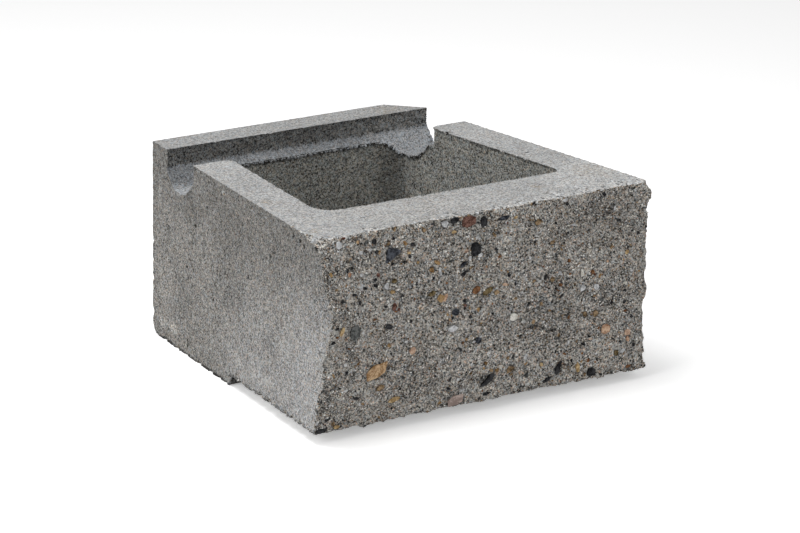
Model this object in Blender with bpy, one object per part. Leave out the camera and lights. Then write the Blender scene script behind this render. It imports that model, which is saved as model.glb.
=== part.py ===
"""Planter retaining block in cast concrete.

The block is cast front to front with a twin and split from it, so its front is a broken
face and its other faces are smooth. It is modelled with the split line at y = 0, the rear
face at y = DEPTH and the lowest face at z = 0, and is then moved so that the world's origin
is the middle of the bottom of its bounding box. Lengths are in metres and +Z is up.
"""

import math

import bmesh
import bpy
from mathutils import Vector, noise

# Plan of the block
FRONT_WIDTH = 0.4064
REAR_WIDTH = 0.3160
DEPTH = 0.3900
BODY_HEIGHT = 0.2000

# Right rear corner: its wing is broken off over the full height and leaves a low root
CLIP_ALONG_REAR = 0.0265
CLIP_ALONG_SIDE = 0.0345
WING_ROOT = 0.0035
WING_ROOT_START = 0.0600

# Lug: the rear part of the underside hangs lower and hooks behind the course below
LUG_DROP = 0.0115
LUG_START = 0.1910
LUG_RUN = 0.0090
FOOT_CHAMFER = 0.0090

# Planting core, open at top and bottom; its right front corner is tighter than the others
FRONT_WALL = 0.0780
ARM_THICKNESS = 0.0455
REAR_WALL = 0.0425
CORE_RADIUS = 0.0240
CORE_TIGHT_RADIUS = 0.0125
CORE_DRAFT = 0.0020

# Rear rail and the channel that runs across the block in front of it
RAIL_THICKNESS = 0.0350
CHANNEL_WIDTH = 0.0670
CHANNEL_DEPTH = 0.0385
CHANNEL_WALL = 0.0200
CHANNEL_BED_RADIUS = 0.0280
CHANNEL_KNEE_RADIUS = 0.0060
ARM_END_RADIUS = 0.0090

# Split face: how far it stands forward of the split line, and how rough it is
SHOULDER = 0.0215
SHOULDER_HEIGHT = 0.1220
SHOULDER_SPREAD = 0.0300
SHOULDER_REACH = 0.0750
CROWN = 0.0050
HOLLOW = 0.0060
HOLLOW_HEIGHT = 0.1550
HOLLOW_SPREAD = 0.0350
HOLLOW_INSET = 0.0700
HOLLOW_REACH = 0.0600
RETREAT = 0.0090
RETREAT_REACH = 0.0300
STRAIGHT_FOOT = 0.0150
BROKEN_RELIEF = 0.0032
BROKEN_GRAIN = 0.0330
SPLIT_CELL = 0.0080
SPLIT_SEED = 4.7

# Chip out of the left front corner of the top
CHIP_WIDTH = 0.0110
CHIP_LENGTH = 0.0220
CHIP_DEPTH = 0.0070

# Sides in one rounded corner, and how far a cutter reaches past what it cuts
ARC_STEPS = 6
OVERCUT = 0.0100

CONCRETE_COLOUR = (0.235, 0.226, 0.205, 1.0)
CONCRETE_ROUGHNESS = 0.94

TOP = LUG_DROP + BODY_HEIGHT
SIDE_TAPER = (FRONT_WIDTH - REAR_WIDTH) / 2 / DEPTH
RAIL_FRONT = DEPTH - RAIL_THICKNESS
CHANNEL_FRONT = RAIL_FRONT - CHANNEL_WIDTH
STOCK = SHOULDER + CROWN + BROKEN_RELIEF + OVERCUT


def clear_scene():
    """Remove every object that is in the open file."""
    for thing in list(bpy.data.objects):
        bpy.data.objects.remove(thing, do_unlink=True)


def concrete():
    """Grey concrete, matt all over."""
    material = bpy.data.materials.new("concrete")
    material.use_nodes = True
    shader = material.node_tree.nodes["Principled BSDF"]
    shader.inputs["Base Color"].default_value = CONCRETE_COLOUR
    shader.inputs["Roughness"].default_value = CONCRETE_ROUGHNESS
    shader.inputs["Metallic"].default_value = 0.0
    return material


def half_width(y):
    """Half the block's width at y, widest on the split line and tapering both ways."""
    return FRONT_WIDTH / 2 - SIDE_TAPER * abs(y)


def corner_arc(before, corner, after, radius):
    """Points of the arc that rounds one corner of an outline."""
    if radius <= 0:
        return [corner]
    back = (before - corner).normalized()
    ahead = (after - corner).normalized()
    half_angle = math.acos(max(-1.0, min(1.0, back.dot(ahead)))) / 2
    setback = radius / math.tan(half_angle)
    centre = corner + (back + ahead).normalized() * radius / math.sin(half_angle)
    start = corner + back * setback - centre
    end = corner + ahead * setback - centre
    sweep = start.angle_signed(end)
    turn = [sweep * step / ARC_STEPS for step in range(ARC_STEPS + 1)]
    return [centre + Vector((start.x * math.cos(a) + start.y * math.sin(a),
                             start.y * math.cos(a) - start.x * math.sin(a))) for a in turn]


def rounded(points, radii):
    """Closed outline with each corner rounded by its own radius."""
    corners = [Vector(point) for point in points]
    outline = []
    for i, corner in enumerate(corners):
        after = corners[(i + 1) % len(corners)]
        outline += corner_arc(corners[i - 1], corner, after, radii[i])
    return outline


def solid(name, bottom, top):
    """Closed object between two matching loops of 3-D points."""
    shape = bmesh.new()
    low = [shape.verts.new(point) for point in bottom]
    high = [shape.verts.new(point) for point in top]
    shape.faces.new(low)
    shape.faces.new(high)
    for i in range(len(low)):
        j = (i + 1) % len(low)
        shape.faces.new((low[i], low[j], high[j], high[i]))
    return finished(name, shape)


def upright(name, outline, low, high):
    """Prism that stands on a plan outline."""
    return solid(name, [(p.x, p.y, low) for p in outline], [(p.x, p.y, high) for p in outline])


def across(name, profile, reach):
    """Prism of a (y, z) profile that runs from side to side."""
    return solid(name, [(-reach, p.x, p.y) for p in profile], [(reach, p.x, p.y) for p in profile])


def finished(name, shape):
    """Turn a bmesh into an object with its faces pointing out."""
    bmesh.ops.recalc_face_normals(shape, faces=shape.faces)
    mesh = bpy.data.meshes.new(name)
    shape.to_mesh(mesh)
    shape.free()
    thing = bpy.data.objects.new(name, mesh)
    bpy.context.scene.collection.objects.link(thing)
    return thing


def cut(block, cutter):
    """Take a cutter's shape out of the block."""
    cutter.hide_render = True
    cutter.display_type = 'WIRE'
    cutter.parent = block.parent
    boolean = block.modifiers.new(cutter.name, 'BOOLEAN')
    boolean.operation = 'DIFFERENCE'
    boolean.solver = 'EXACT'
    boolean.object = cutter


def block_blank():
    """Tapered blank, longer than the block by the twin's stock, with its clipped corner."""
    clip_y = DEPTH - CLIP_ALONG_SIDE
    root_y = DEPTH - WING_ROOT_START
    plan = [(-half_width(STOCK), -STOCK), (half_width(STOCK), -STOCK), (half_width(0), 0),
            (half_width(root_y), root_y), (half_width(clip_y) + WING_ROOT, clip_y),
            (REAR_WIDTH / 2 - CLIP_ALONG_REAR, DEPTH), (-REAR_WIDTH / 2, DEPTH),
            (-half_width(0), 0)]
    return upright("planter_block", [Vector(point) for point in plan], 0, TOP)


def core_outline(inset):
    """Plan of the planting core, drawn in by inset on every side."""
    front = FRONT_WALL + inset
    rear = DEPTH - REAR_WALL - inset
    front_x = half_width(front) - ARM_THICKNESS - inset
    rear_x = half_width(rear) - ARM_THICKNESS - inset
    corners = [(-front_x, front), (front_x, front), (rear_x, rear), (-rear_x, rear)]
    return rounded(corners, [CORE_RADIUS, CORE_TIGHT_RADIUS, CORE_RADIUS, CORE_RADIUS])


def core_cutter():
    """Core that widens upwards by its draft."""
    slope = CORE_DRAFT / TOP
    low, high = -OVERCUT, TOP + OVERCUT
    bottom = [(p.x, p.y, low) for p in core_outline(slope * (TOP - low))]
    top = [(p.x, p.y, high) for p in core_outline(slope * (TOP - high))]
    return solid("core_cutter", bottom, top)


def underside_cutter():
    """Space under the front part, up to the lug's sloping face."""
    profile = [(-STOCK - OVERCUT, -OVERCUT), (LUG_START + LUG_RUN, -OVERCUT),
               (LUG_START + LUG_RUN, 0), (LUG_START, LUG_DROP), (-STOCK - OVERCUT, LUG_DROP)]
    return across("underside_cutter", [Vector(point) for point in profile], FRONT_WIDTH)


def foot_cutter():
    """Chamfer along the bottom of the rear face."""
    past = FOOT_CHAMFER + 2 * OVERCUT
    profile = [(DEPTH - past + OVERCUT, -OVERCUT), (DEPTH + OVERCUT, -OVERCUT),
               (DEPTH + OVERCUT, past - OVERCUT)]
    return across("foot_cutter", [Vector(point) for point in profile], FRONT_WIDTH)


def channel_cutter():
    """Channel with upright walls above and slopes down to a flat floor, rounded in front."""
    floor = TOP - CHANNEL_DEPTH
    knee = TOP - CHANNEL_WALL
    run = CHANNEL_DEPTH - CHANNEL_WALL
    profile = [(RAIL_FRONT, TOP + OVERCUT), (RAIL_FRONT, knee), (RAIL_FRONT - run, floor),
               (CHANNEL_FRONT + run, floor), (CHANNEL_FRONT, knee), (CHANNEL_FRONT, TOP + OVERCUT)]
    radii = [0, 0, 0, CHANNEL_BED_RADIUS, CHANNEL_KNEE_RADIUS, 0]
    return across("channel_cutter", rounded(profile, radii), FRONT_WIDTH)


def arm_end_cutter(name, side):
    """Rounding of the inner corner at the end of one arm, as deep as the upright wall."""
    inner = half_width(CHANNEL_FRONT) - ARM_THICKNESS
    corner = Vector((inner, CHANNEL_FRONT))
    along = Vector((SIDE_TAPER, -1)).normalized()
    arc = corner_arc(corner + along, corner, corner + Vector((1, 0)), ARM_END_RADIUS)
    outside = [arc[-1] + Vector((0, OVERCUT)), corner + Vector((-OVERCUT, OVERCUT)),
               arc[0] - Vector((OVERCUT, 0))]
    outline = [Vector((side * point.x, point.y)) for point in arc + outside]
    return upright(name, outline, TOP - CHANNEL_WALL, TOP + OVERCUT)


def bell(distance, spread):
    """Smooth hump that is 1 in its middle and dies away at about twice its spread."""
    return math.exp(-(distance / spread) ** 2)


def stands_forward(x, z):
    """How far the split face stands forward of the split line at one place."""
    height = z - LUG_DROP
    from_left = max(0.0, FRONT_WIDTH / 2 + x)
    from_right = max(0.0, FRONT_WIDTH / 2 - x)
    share = (height - STRAIGHT_FOOT) / (BODY_HEIGHT - STRAIGHT_FOOT)
    between_edges = math.sin(math.pi * max(0.0, min(1.0, share))) ** 0.6
    shoulder = 0.55 * bell(height - SHOULDER_HEIGHT, SHOULDER_SPREAD) + 0.45 * between_edges
    shoulder *= SHOULDER * math.exp(-from_left / SHOULDER_REACH)
    hollow = bell(height - HOLLOW_HEIGHT, HOLLOW_SPREAD) * bell(from_right - HOLLOW_INSET, HOLLOW_REACH)
    edge = (CROWN - RETREAT * math.exp(-from_right / RETREAT_REACH)) * between_edges
    place = Vector((x / BROKEN_GRAIN, z / BROKEN_GRAIN, SPLIT_SEED))
    broken = BROKEN_RELIEF * noise.fractal(place, 1.0, 2.0, 4)
    return shoulder + edge - HOLLOW * hollow + broken


def split_cutter():
    """Everything in front of the split face, with the broken relief on its rear side."""
    columns = math.ceil((FRONT_WIDTH + 2 * OVERCUT) / SPLIT_CELL)
    rows = math.ceil((TOP + 2 * OVERCUT) / SPLIT_CELL)
    shape = bmesh.new()
    bmesh.ops.create_grid(shape, x_segments=columns, y_segments=rows, size=0.5)
    for vert in shape.verts:
        x = vert.co.x * (FRONT_WIDTH + 2 * OVERCUT)
        z = (vert.co.y + 0.5) * (TOP + 2 * OVERCUT) - OVERCUT
        vert.co = (x, -stands_forward(x, z), z)
    front = bmesh.ops.extrude_face_region(shape, geom=shape.faces[:])
    for vert in [item for item in front["geom"] if isinstance(item, bmesh.types.BMVert)]:
        vert.co.y = -STOCK - OVERCUT
    return finished("split_cutter", shape)


def chip_cutter():
    """Uneven lump that takes the left front corner off the top."""
    shape = bmesh.new()
    bmesh.ops.create_icosphere(shape, subdivisions=2, radius=1)
    for vert in shape.verts:
        vert.co *= 1 + 0.18 * noise.noise(vert.co * 1.5 + Vector((SPLIT_SEED, 0, 0)))
        vert.co = (vert.co.x * CHIP_WIDTH - half_width(0), vert.co.y * CHIP_LENGTH,
                   vert.co.z * CHIP_DEPTH + TOP)
    return finished("chip_cutter", shape)


def centre_on_origin(block):
    """Move the block so that the origin is the middle of the bottom of its box."""
    bpy.context.view_layer.update()
    seen = block.evaluated_get(bpy.context.evaluated_depsgraph_get())
    corners = [Vector(corner) for corner in seen.bound_box]
    low = Vector([min(corner[axis] for corner in corners) for axis in range(3)])
    high = Vector([max(corner[axis] for corner in corners) for axis in range(3)])
    block.parent.location = (-(low.x + high.x) / 2, -(low.y + high.y) / 2, -low.z)


def build():
    """Model the block."""
    clear_scene()
    frame = bpy.data.objects.new("block_frame", None)
    bpy.context.scene.collection.objects.link(frame)
    block = block_blank()
    block.parent = frame
    block.data.materials.append(concrete())
    cut(block, underside_cutter())
    cut(block, foot_cutter())
    cut(block, core_cutter())
    cut(block, channel_cutter())
    cut(block, arm_end_cutter("left_arm_end_cutter", -1))
    cut(block, arm_end_cutter("right_arm_end_cutter", 1))
    cut(block, split_cutter())
    cut(block, chip_cutter())
    centre_on_origin(block)


build()
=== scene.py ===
"""Looks of a planter retaining block in cast concrete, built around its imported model.

The file is laid out as an add-on and run as a script: each piece or group of like pieces has an
operator, and the panel in the 3D view's sidebar lists them. Lengths are in metres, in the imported
model's frame: +Z is up, the split front faces -Y and the rail runs along the rear.
"""

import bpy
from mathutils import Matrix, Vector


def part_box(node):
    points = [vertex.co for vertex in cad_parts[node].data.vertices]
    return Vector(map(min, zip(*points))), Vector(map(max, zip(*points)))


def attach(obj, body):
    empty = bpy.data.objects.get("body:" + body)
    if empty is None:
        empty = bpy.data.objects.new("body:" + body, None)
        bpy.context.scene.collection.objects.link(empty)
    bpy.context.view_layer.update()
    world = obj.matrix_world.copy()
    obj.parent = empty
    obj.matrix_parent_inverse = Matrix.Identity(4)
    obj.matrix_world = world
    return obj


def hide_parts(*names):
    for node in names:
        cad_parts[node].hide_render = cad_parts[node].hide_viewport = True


bl_info = {
    "name": "Planter Retaining Block",
    "version": (1, 0, 0),
    "blender": (4, 5, 0),
    "location": "3D View > Sidebar > Block",
    "description": "Cast concrete block with a split front, open core, rear rail and exposed stones",
    "category": "Object",
}

import math
import random
from collections import namedtuple

import bmesh
import bpy
import numpy as np
from bpy.props import FloatProperty, FloatVectorProperty, IntProperty, PointerProperty
from mathutils import Matrix, Vector
from mathutils.bvhtree import BVHTree

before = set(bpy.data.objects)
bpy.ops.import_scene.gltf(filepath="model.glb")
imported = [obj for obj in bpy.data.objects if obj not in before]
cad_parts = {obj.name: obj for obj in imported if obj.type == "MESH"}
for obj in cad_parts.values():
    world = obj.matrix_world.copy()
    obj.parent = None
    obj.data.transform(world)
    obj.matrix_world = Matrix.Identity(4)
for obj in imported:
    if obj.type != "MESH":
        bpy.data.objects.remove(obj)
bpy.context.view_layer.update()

NODE = "planter_block"
BODY = "root"
LOW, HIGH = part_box(NODE)

# Places on the block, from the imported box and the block's own sizes
DEPTH = 0.3900
RAIL_THICKNESS = 0.0350
CHANNEL_WIDTH = 0.0670
CHANNEL_DEPTH = 0.0385
CHANNEL_WALL = 0.0200
LUG_DROP = 0.0115
FRONT_WALL = 0.0780
REAR_WALL = 0.0425
TOP = HIGH.z
SPLIT_LINE = HIGH.y - DEPTH
RAIL_FRONT = HIGH.y - RAIL_THICKNESS
CHANNEL_FRONT = RAIL_FRONT - CHANNEL_WIDTH
CHANNEL_FLOOR = TOP - CHANNEL_DEPTH
CHANNEL_KNEE = TOP - CHANNEL_WALL
CORE_FRONT = SPLIT_LINE + FRONT_WALL
CORE_REAR = HIGH.y - REAR_WALL
CORE_SIDE = 0.1500
LUG_FRONT = SPLIT_LINE + 0.1955
SPLIT_REACH = 0.0160

# Photograph's frame, and the camera that was fitted to the block's edges in it
PHOTO_SIZE = (800, 533)
PHOTO_FOCAL = 4200.0
SENSOR = 36.0
TARGET = Vector((-0.00386, -0.03140, 0.11295))

# Zones of the surface, in the order of the body's material slots
ZONES = ("top", "side", "underside", "rail_face", "channel", "core", "split")

MILLIMETRE = 0.001


class BlockBody(bpy.types.PropertyGroup):
    """Sizes and colours of the cast body."""

    voxel: FloatProperty(name="Voxel", description="Size of the mesh's cells before it is thinned",
                         default=0.0014, min=0.001, max=0.01, precision=4, unit='LENGTH')
    triangles: IntProperty(name="Triangles", description="Triangles that the finished body has",
                           default=197000, min=20000, max=199000)
    sand_relief: FloatProperty(name="Sand relief", description="Depth of the sandy skin of cast faces",
                               default=0.00060, min=0, max=0.002, precision=5, unit='LENGTH')
    sand_size: FloatProperty(name="Sand size", description="Width of the bumps in the sandy skin",
                             default=0.0036, min=0.001, max=0.02, precision=4, unit='LENGTH')
    pit_depth: FloatProperty(name="Pit depth", description="Depth of the holes in cast faces",
                             default=0.0016, min=0, max=0.005, precision=4, unit='LENGTH')
    pit_spacing: FloatProperty(name="Pit spacing", description="Distance between the holes in cast faces",
                               default=0.0120, min=0.004, max=0.1, precision=4, unit='LENGTH')
    broken_relief: FloatProperty(name="Broken relief", description="Height of the lumps on the split face",
                                 default=0.0030, min=0, max=0.006, precision=4, unit='LENGTH')
    broken_size: FloatProperty(name="Broken size", description="Width of the lumps on the split face",
                               default=0.0170, min=0.004, max=0.05, precision=4, unit='LENGTH')
    flake_step: FloatProperty(name="Flake step", description="Height of the steps between broken flakes",
                              default=0.0025, min=0, max=0.005, precision=4, unit='LENGTH')
    void_depth: FloatProperty(name="Void depth", description="Depth of the holes in the split face",
                              default=0.0026, min=0, max=0.006, precision=4, unit='LENGTH')
    void_spacing: FloatProperty(name="Void spacing", description="Distance between holes in the split face",
                                default=0.0085, min=0.004, max=0.1, precision=4, unit='LENGTH')
    arris_wear: FloatProperty(name="Arris wear", description="How deep the nibbles along the edges go",
                              default=0.0013, min=0, max=0.006, precision=4, unit='LENGTH')
    arris_grain: FloatProperty(name="Arris grain", description="Length of the nibbles along the edges",
                               default=0.0065, min=0.001, max=0.05, precision=4, unit='LENGTH')
    top_colour: FloatVectorProperty(name="Top colour", description="Colour of the bearing faces",
                                    default=(0.352, 0.353, 0.350), subtype='COLOR', min=0, max=1)
    side_colour: FloatVectorProperty(name="Side colour", description="Colour of the moulded sides",
                                     default=(0.243, 0.237, 0.224), subtype='COLOR', min=0, max=1)
    rail_colour: FloatVectorProperty(name="Rail face colour", description="Colour of the rail's dark face",
                                     default=(0.137, 0.138, 0.135), subtype='COLOR', min=0, max=1)
    channel_colour: FloatVectorProperty(name="Channel colour", description="Colour of the channel's slopes",
                                        default=(0.210, 0.218, 0.226), subtype='COLOR', min=0, max=1)
    core_colour: FloatVectorProperty(name="Core colour", description="Colour of the core's walls",
                                     default=(0.222, 0.222, 0.206), subtype='COLOR', min=0, max=1)
    split_colour: FloatVectorProperty(name="Split colour", description="Colour of the broken cement",
                                      default=(0.284, 0.273, 0.255), subtype='COLOR', min=0, max=1)


class BlockStones(bpy.types.PropertyGroup):
    """Stones, grit and sand grains that show in the surface."""

    proud: FloatProperty(name="Proud", description="How far a stone stands out of the cement",
                         default=0.0012, min=0, max=0.003, precision=4, unit='LENGTH')
    socket: FloatProperty(name="Socket", description="How far the cement sinks under a stone",
                          default=0.0022, min=0, max=0.005, precision=4, unit='LENGTH')
    seed: IntProperty(name="Seed", description="Start of every random choice", default=11, min=0)
    grain_density: FloatProperty(name="Grains", description="Grains of one finish in a square metre",
                                 default=24000, min=0, max=200000)
    sand_density: FloatProperty(name="Sand", description="Sand grains in a square metre of a cast face",
                                default=80000, min=0, max=200000)


class BlockStage(bpy.types.PropertyGroup):
    """Camera, floor and light."""

    azimuth: FloatProperty(name="Azimuth", description="Turn of the camera round the block, in degrees",
                           default=-33.87)
    elevation: FloatProperty(name="Elevation", description="Camera's angle above the floor, in degrees",
                             default=17.41)
    roll: FloatProperty(name="Roll", description="Turn of the camera about its own axis, in degrees",
                        default=0.95)
    distance: FloatProperty(name="Distance", description="Distance from the camera to its target",
                            default=4.34124, unit='LENGTH')
    floor_size: FloatProperty(name="Floor size", description="Side of the floor", default=12.0,
                              unit='LENGTH')
    floor_colour: FloatVectorProperty(name="Floor colour", description="Colour of the floor",
                                      default=(0.80, 0.80, 0.80), subtype='COLOR', min=0, max=1)
    floor_glow: FloatProperty(name="Floor glow", description="Whiteness that the camera sees in the floor",
                              default=0.35, min=0, max=1)
    sky_level: FloatProperty(name="Sky level", description="Strength of the even light from all round",
                             default=0.34, min=0, max=2)
    top_power: FloatProperty(name="Top power", description="Power of the lamp above, in watts",
                             default=20.0, min=0, max=500)
    left_power: FloatProperty(name="Left power", description="Power of the lamp on the left, in watts",
                              default=17.0, min=0, max=500)
    front_power: FloatProperty(name="Front power", description="Power of the lamp in front, in watts",
                               default=9.0, min=0, max=500)


# Short forms for making nodes, objects and pieces


def node(tree, kind, inputs=None, **attributes):
    """Add a node, set its attributes, and fill its inputs with values or links."""
    made = tree.nodes.new(kind)
    for name, value in attributes.items():
        setattr(made, name, value)
    for name, value in (inputs or {}).items():
        if isinstance(value, bpy.types.NodeSocket):
            tree.links.new(value, made.inputs[name])
        else:
            made.inputs[name].default_value = value
    return made


def calc(tree, operation, first, second=0.0, clamp=False):
    """One sum of two numbers or sockets."""
    inputs = {0: first, 1: second}
    return node(tree, "ShaderNodeMath", inputs, operation=operation, use_clamp=clamp).outputs[0]


def vector(tree, operation, first, second, output=0):
    """One sum of two vectors or sockets; SCALE takes a number as its second."""
    inputs = {0: first, "Scale" if operation == 'SCALE' else 1: second}
    return node(tree, "ShaderNodeVectorMath", inputs, operation=operation).outputs[output]


def ramp(tree, value, low, high, start=0.0, end=1.0, smooth=True):
    """Carry a value from one range to another and hold it there."""
    kind = 'SMOOTHSTEP' if smooth else 'LINEAR'
    inputs = {"Value": value, "From Min": low, "From Max": high, "To Min": start, "To Max": end}
    return node(tree, "ShaderNodeMapRange", inputs, interpolation_type=kind, clamp=True).outputs["Result"]


def total(tree, *values):
    """Sum of several numbers or sockets."""
    result = values[0]
    for value in values[1:]:
        result = calc(tree, 'ADD', result, value)
    return result


def product(tree, *values):
    """Product of several numbers or sockets."""
    result = values[0]
    for value in values[1:]:
        result = calc(tree, 'MULTIPLY', result, value)
    return result


def minus(tree, first, second):
    """First number or socket less the second."""
    return calc(tree, 'SUBTRACT', first, second)


def over(tree, size):
    """A texture's scale for a feature of that size."""
    return calc(tree, 'DIVIDE', 1.0, size) if isinstance(size, bpy.types.NodeSocket) else 1.0 / size


def grain(tree, place, size, detail=2.0, roughness=0.6):
    """Noise from 0 to 1 whose lumps are about as wide as size."""
    inputs = {"Vector": place, "Scale": over(tree, size), "Detail": detail, "Roughness": roughness}
    return node(tree, "ShaderNodeTexNoise", inputs).outputs[0]


def coloured_noise(tree, place, size, detail=2.0):
    """Three noises from 0 to 1 at once, to push places about with."""
    inputs = {"Vector": place, "Scale": over(tree, size), "Detail": detail}
    return node(tree, "ShaderNodeTexNoise", inputs).outputs[1]


def wobble(tree, place, size, most, detail=2.0, roughness=0.6):
    """Noise about as wide as size that goes up to most either way."""
    swing = ramp(tree, grain(tree, place, size, detail, roughness), 0.27, 0.73, -1.0, 1.0, smooth=False)
    return product(tree, swing, most)


def cells(tree, place, size):
    """Cells about as wide as size: distance from each one's middle, and its random colour."""
    made = node(tree, "ShaderNodeTexVoronoi", {"Vector": place, "Scale": over(tree, size)})
    return made.outputs["Distance"], made.outputs["Color"]


def parts_of(tree, value):
    """X, Y and Z of a vector, or red, green and blue of a colour."""
    return node(tree, "ShaderNodeSeparateXYZ", {0: value}).outputs


def opaque(colour):
    """A colour as a node takes it; a link stays as it is."""
    return colour if isinstance(colour, bpy.types.NodeSocket) else tuple(colour)[:3] + (1.0,)


def mixed(tree, share, first, second, blend='MIX'):
    """Two colours mixed by a share."""
    inputs = {0: share, 6: opaque(first), 7: opaque(second)}
    return node(tree, "ShaderNodeMix", inputs, data_type='RGBA', blend_type=blend).outputs[2]


def attribute(tree, name):
    """Value of a named attribute of the mesh."""
    return node(tree, "ShaderNodeAttribute", attribute_name=name).outputs["Fac"]


def new_material(name, roughness, specular):
    """Matt or slightly glossy material: the material, its tree, its shader and the place on the piece."""
    material = bpy.data.materials.new(name)
    material.use_nodes = True
    tree = material.node_tree
    shader = tree.nodes["Principled BSDF"]
    shader.inputs["Roughness"].default_value = roughness
    shader.inputs["Specular IOR Level"].default_value = specular
    return material, tree, shader, node(tree, "ShaderNodeTexCoord").outputs["Object"]


def add_bump(tree, shader, height, strength, distance):
    """Small relief in the surface's normal."""
    bump = node(tree, "ShaderNodeBump", {"Strength": strength, "Distance": distance, "Height": height})
    tree.links.new(bump.outputs[0], shader.inputs["Normal"])


def new_object(name, data):
    """Object at the origin with its place in its mesh."""
    thing = bpy.data.objects.new(name, data)
    bpy.context.scene.collection.objects.link(thing)
    return thing


def geometry_tree(name, sizes):
    """Geometry node tree with a named input for each size."""
    tree = bpy.data.node_groups.new(name, 'GeometryNodeTree')
    tree.interface.new_socket("Geometry", in_out='INPUT', socket_type='NodeSocketGeometry')
    for size in sizes:
        tree.interface.new_socket(size, in_out='INPUT', socket_type='NodeSocketFloat')
    tree.interface.new_socket("Geometry", in_out='OUTPUT', socket_type='NodeSocketGeometry')
    return tree, tree.nodes.new("NodeGroupInput").outputs


def keep_attribute(tree, geometry, name, value, kind='FLOAT', domain='POINT'):
    """Store a value on the geometry under a name."""
    stored = node(tree, "GeometryNodeStoreNamedAttribute", {"Geometry": geometry, "Name": name},
                  data_type=kind, domain=domain)
    tree.links.new(value, next(s for s in stored.inputs if s.enabled and s.name == "Value"))
    return stored.outputs[0]


def use_tree(thing, tree, values):
    """Put a geometry node modifier on an object and set its inputs."""
    modifier = thing.modifiers.new(tree.name, 'NODES')
    modifier.node_group = tree
    for item in tree.interface.items_tree:
        if item.in_out == 'INPUT' and item.name in values:
            modifier[item.identifier] = values[item.name]


def settle(thing, name):
    """Make an object's mesh plain, as its modifiers leave it, and take the modifiers off."""
    depsgraph = bpy.context.evaluated_depsgraph_get()
    mesh = bpy.data.meshes.new_from_object(thing.evaluated_get(depsgraph), depsgraph=depsgraph)
    mesh.name = name
    thing.modifiers.clear()
    old = thing.data
    thing.data = mesh
    bpy.data.meshes.remove(old)
    return mesh


def finish_piece(piece):
    """Tie a piece to the block's body."""
    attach(piece, BODY)


# Places that were picked in the photograph


def camera_turn(stage):
    """Camera's right, up and backward directions as the columns of a matrix."""
    turn, lift, roll = (math.radians(v) for v in (stage.azimuth, stage.elevation, stage.roll))
    back = Vector((math.sin(turn) * math.cos(lift), -math.cos(turn) * math.cos(lift), math.sin(lift)))
    level = Vector((math.cos(turn), math.sin(turn), 0))
    upward = back.cross(level)
    right = level * math.cos(roll) + upward * math.sin(roll)
    up = upward * math.cos(roll) - level * math.sin(roll)
    return Matrix((right, up, back)).transposed()


def camera_place(stage):
    """Where the camera stands."""
    return TARGET + camera_turn(stage).col[2] * stage.distance


def packed_faces():
    """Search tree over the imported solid's faces."""
    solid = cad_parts[NODE].data
    return BVHTree.FromPolygons([v.co for v in solid.vertices], [p.vertices for p in solid.polygons])


def picked(faces, pixel):
    """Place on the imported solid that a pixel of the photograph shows, and its outward direction."""
    stage = bpy.context.scene.block_stage
    across = (pixel[0] - PHOTO_SIZE[0] / 2) / PHOTO_FOCAL
    down = (pixel[1] - PHOTO_SIZE[1] / 2) / PHOTO_FOCAL
    sight = (camera_turn(stage) @ Vector((across, -down, -1))).normalized()
    place, outward, _, _ = faces.ray_cast(camera_place(stage), sight)
    if place is None:
        raise RuntimeError(f"pixel {pixel} misses the block")
    return place, outward


# Concrete

# Look of each zone: width of its grains; how far single grains, the finer noise and the broad clouds
# change its brightness; darkness of the painted shade in its pores; strength of its warm grains and of
# its rust; strength of its bump; and its roughness
Concrete = namedtuple("Concrete", "grain speckle contrast mottle pores warm stain bump roughness")

FINISHES = {
    "top": Concrete(0.0014, 0.50, 0.14, 0.06, 0.30, 0.12, 0.02, 0.55, 0.93),
    "side": Concrete(0.0012, 0.80, 0.34, 0.13, 0.60, 0.20, 0.06, 0.80, 0.93),
    "underside": Concrete(0.0012, 0.80, 0.34, 0.14, 0.60, 0.25, 0.10, 0.80, 0.93),
    "rail_face": Concrete(0.0012, 0.90, 0.50, 0.10, 0.60, 0.20, 0.06, 0.80, 0.93),
    "channel": Concrete(0.0012, 0.56, 0.28, 0.08, 0.40, 0.10, 0.02, 0.55, 0.90),
    "core": Concrete(0.0013, 0.84, 0.38, 0.10, 0.65, 0.20, 0.06, 0.85, 0.94),
    # The split face's strong broad clouds partly stand for the shading of its broken lumps: painted light
    # and shade
    "split": Concrete(0.0012, 0.88, 0.66, 0.26, 0.70, 0.40, 0.16, 1.00, 0.92),
}

# Colours that rust and warm grains multiply the concrete by, and how far grains turn warmer or cooler
STAIN_COLOUR = (0.80, 0.66, 0.48)
WARM_COLOUR = (1.40, 0.72, 0.36)
TINT = 0.1

# Pale bloom on the sides, partly painted light on their lower front: its colour, its share behind the
# split arris and at the foot, and how much it evens the grains out
BLOOM_AND_LIGHT_COLOUR = (0.410, 0.410, 0.410)
BLOOM_AND_LIGHT_AT_ARRIS = 0.35
BLOOM_AND_LIGHT_AT_FOOT = 0.50
BLOOM_AND_LIGHT_CALM = 0.20

# Sizes of the broad cloudy areas, and the darkest that a grain gets
MOTTLE_SIZES = (0.018, 0.060)
DARKEST_GRAIN = 0.12

# Small pores of two sizes in painted shade: spacing, how rare they are, and largest radius as a share of
# spacing
PORES = ((0.0036, 0.72, 0.24), (0.0085, 0.74, 0.19))

# How the hollows' painted shade is graded: fully dark, and from where no grain lies on it
HOLLOW_DARK = 1.4
HOLLOW_BARE = 0.9

# Size and reach of the crooked outlines of soft areas
WANDER_SIZE = 0.016
WANDER_REACH = 0.012

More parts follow.
